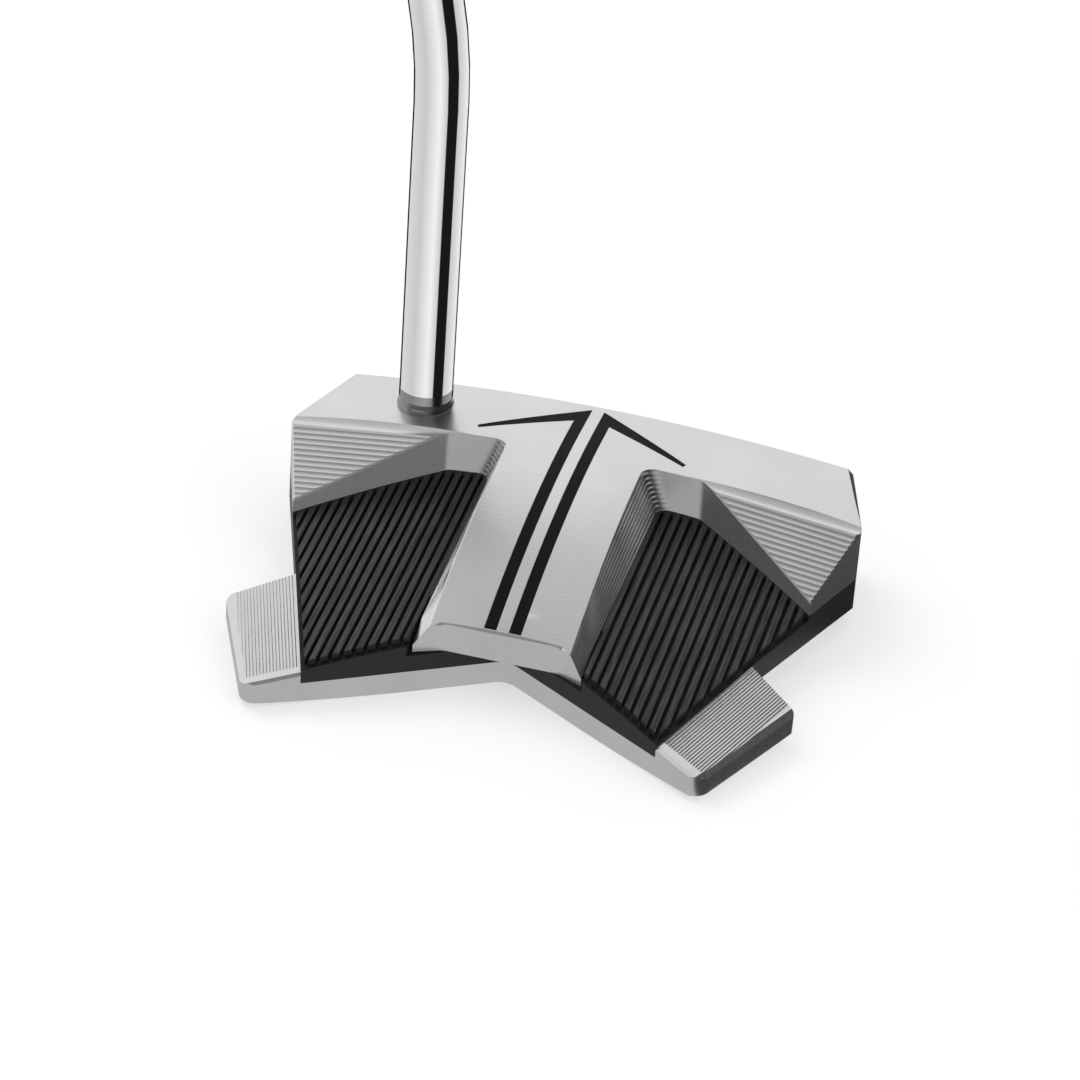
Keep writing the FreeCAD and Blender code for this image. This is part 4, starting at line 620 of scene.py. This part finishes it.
def build_shade_sheet():
    """Painted reflection: a glowing grey sheet round the head that only nearby metal mirrors,
    darkening what that metal mirrors below it.
    """
    shade_sheet = sheet("shade_sheet", SHADE_SHEET_HALF, SHADE_SHEET_DROP)
    shade_sheet.visible_camera = False
    shade_sheet.visible_diffuse = False
    shade_sheet.visible_shadow = False
    shade_sheet.visible_transmission = False
    made, graph, at = material("painted_reflection_sheet")
    x, y, z = graph.split(at)
    past_side = graph.math("SUBTRACT", x, SIDE_LINE)
    along_x, along_y, start = WING_LINE
    past_wing = graph.math("MULTIPLY_ADD", y, along_y, start)
    past_wing = graph.math("MULTIPLY_ADD", x, along_x, past_wing)
    past = graph.math("MAXIMUM", past_side, past_wing)
    # Painted reflection: the sheet glows mid grey, turning dark past the toe side and toe wing
    # lines
    level = graph.rescale(past, 0.0, 1.5, 0.50, 0.05)
    reflected_shade = graph.add("Emission", {"Color": graph.tint((1, 1, 1, 1), level), "Strength": 1.0})
    clear = graph.add("BsdfTransparent").outputs[0]
    reach = graph.add("LightPath").outputs["Ray Length"]
    geometry = graph.add("NewGeometry").outputs
    climb = graph.math("MULTIPLY", graph.split(geometry["Incoming"])[2], reach)
    far = graph.math("GREATER_THAN", reach, SHADE_SHEET_SIGHT)
    above = graph.math("GREATER_THAN", climb, SHY_HEIGHT)
    hidden = graph.math("MAXIMUM", graph.math("MAXIMUM", far, above), geometry["Backfacing"])
    graph.finish(graph.add("MixShader", {0: hidden, 1: reflected_shade.outputs[0], 2: clear}).outputs[0])
    shade_sheet.data.materials.append(made)


def build_world():
    """A white studio. Only metal sees its walls, everything else an even white."""
    world = bpy.data.worlds.new("studio")
    world.use_nodes = True
    scene.world = world
    graph = Graph(world.node_tree)
    seen = graph.studio(graph.add("TexCoord").outputs["Generated"])
    path = graph.add("LightPath").outputs
    mirrored = graph.add("Background", {"Color": seen, "Strength": 1.0}).outputs[0]
    plain = graph.add("Background", {"Color": (0.93, 0.93, 0.93, 1), "Strength": 1.0}).outputs[0]
    mixed = graph.add("MixShader", {0: path["Is Glossy Ray"], 1: plain, 2: mirrored}).outputs[0]
    graph.add("OutputWorld", {"Surface": mixed})


def build_lights():
    """Two large soft lamps: a key over the heel and a fill over the toe."""
    head_low, head_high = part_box("face_body")
    aim = (head_low + head_high) / 2
    lamps = [("key", (-0.9, 0.5, 1.3), 1.2, 9.0), ("fill", (1.1, -0.5, 1.0), 1.0, 3.0)]
    for name, offset, width, power in lamps:
        lamp = bpy.data.lights.new(name, "AREA")
        lamp.shape = "DISK"
        lamp.size = width
        lamp.energy = power
        made = bpy.data.objects.new(name, lamp)
        made.location = aim + Vector(offset)
        made.rotation_euler = (-Vector(offset)).to_track_quat("-Z", "Y").to_euler()
        made.visible_glossy = False
        scene.collection.objects.link(made)


def build_camera():
    """Looks down on the back of the head from behind and a little to the toe side."""
    sin_a, cos_a = math.sin(CAMERA_AZIMUTH), math.cos(CAMERA_AZIMUTH)
    sin_e, cos_e = math.sin(CAMERA_ELEVATION), math.cos(CAMERA_ELEVATION)
    ahead = Vector((-sin_a * cos_e, cos_a * cos_e, -sin_e))
    level = Vector((cos_a, sin_a, 0))
    upright = level.cross(ahead)
    right = level * math.cos(CAMERA_ROLL) + upright * math.sin(CAMERA_ROLL)
    up = upright * math.cos(CAMERA_ROLL) - level * math.sin(CAMERA_ROLL)
    place = CAMERA_TARGET - ahead * CAMERA_DISTANCE
    place -= right * CAMERA_SHIFT_RIGHT + up * CAMERA_SHIFT_UP
    lens = bpy.data.cameras.new("camera")
    lens.lens = CAMERA_LENS
    lens.clip_start = 0.05
    lens.clip_end = 50
    camera = bpy.data.objects.new("camera", lens)
    scene.collection.objects.link(camera)
    turned = Matrix((right, up, -ahead)).transposed().to_4x4()
    camera.matrix_world = Matrix.Translation(place) @ turned
    scene.camera = camera


# -------------------------------------------------------------------- dressing

screw_places = [(38.0, -21.6), (28.5, -38.0), (8.0, -56.5)]
weight_place = (27.0, -58.5)
LOOKS = {
    "face_body": milled_aluminium(),
    "sole_frame": milled_steel(),
    "core": black_anodised(),
    "shaft": polished_chrome(),
    "hosel_post": satin_steel("satin_post", (0.32, 0.32, 0.33, 1), 0.20),
    "damping_gasket": dull("gasket_rubber", (0.012, 0.012, 0.012, 1), 0.75, 6.0, 0.01),
    "hosel_adhesive": dull("cured_resin", (0.55, 0.50, 0.34, 1), 0.35, 3.0, 0.01),
    "grip": dull("grip_rubber", (0.022, 0.022, 0.023, 1), 0.62, 4.0, 0.02),
    "grip_tape": dull("paper_tape", (0.62, 0.58, 0.46, 1), 0.8, 5.0, 0.02),
    "grip_plug": dull("plug_plastic", (0.03, 0.03, 0.03, 1), 0.5, 6.0, 0.01),
}
weight_look = satin_steel("turned_weight", (0.36, 0.36, 0.37, 1), 0.30, [weight_place])
screw_look = satin_steel("screw_steel", (0.48, 0.48, 0.49, 1), 0.28, screw_places)
paint_look = line_paint()
for side in ("heel", "toe"):
    LOOKS[side + "_weight"] = weight_look
    LOOKS["sight_line_" + side] = paint_look
for row in ("front_screws", "rear_screws", "plate_screws"):
    LOOKS[row] = screw_look
for node_name, node_look in LOOKS.items():
    dress(node_name, node_look)

build_grip()
build_floor()
build_shade_sheet()
build_world()
build_lights()
build_camera()
scene.view_settings.view_transform = "Standard"
scene.view_settings.look = "None"
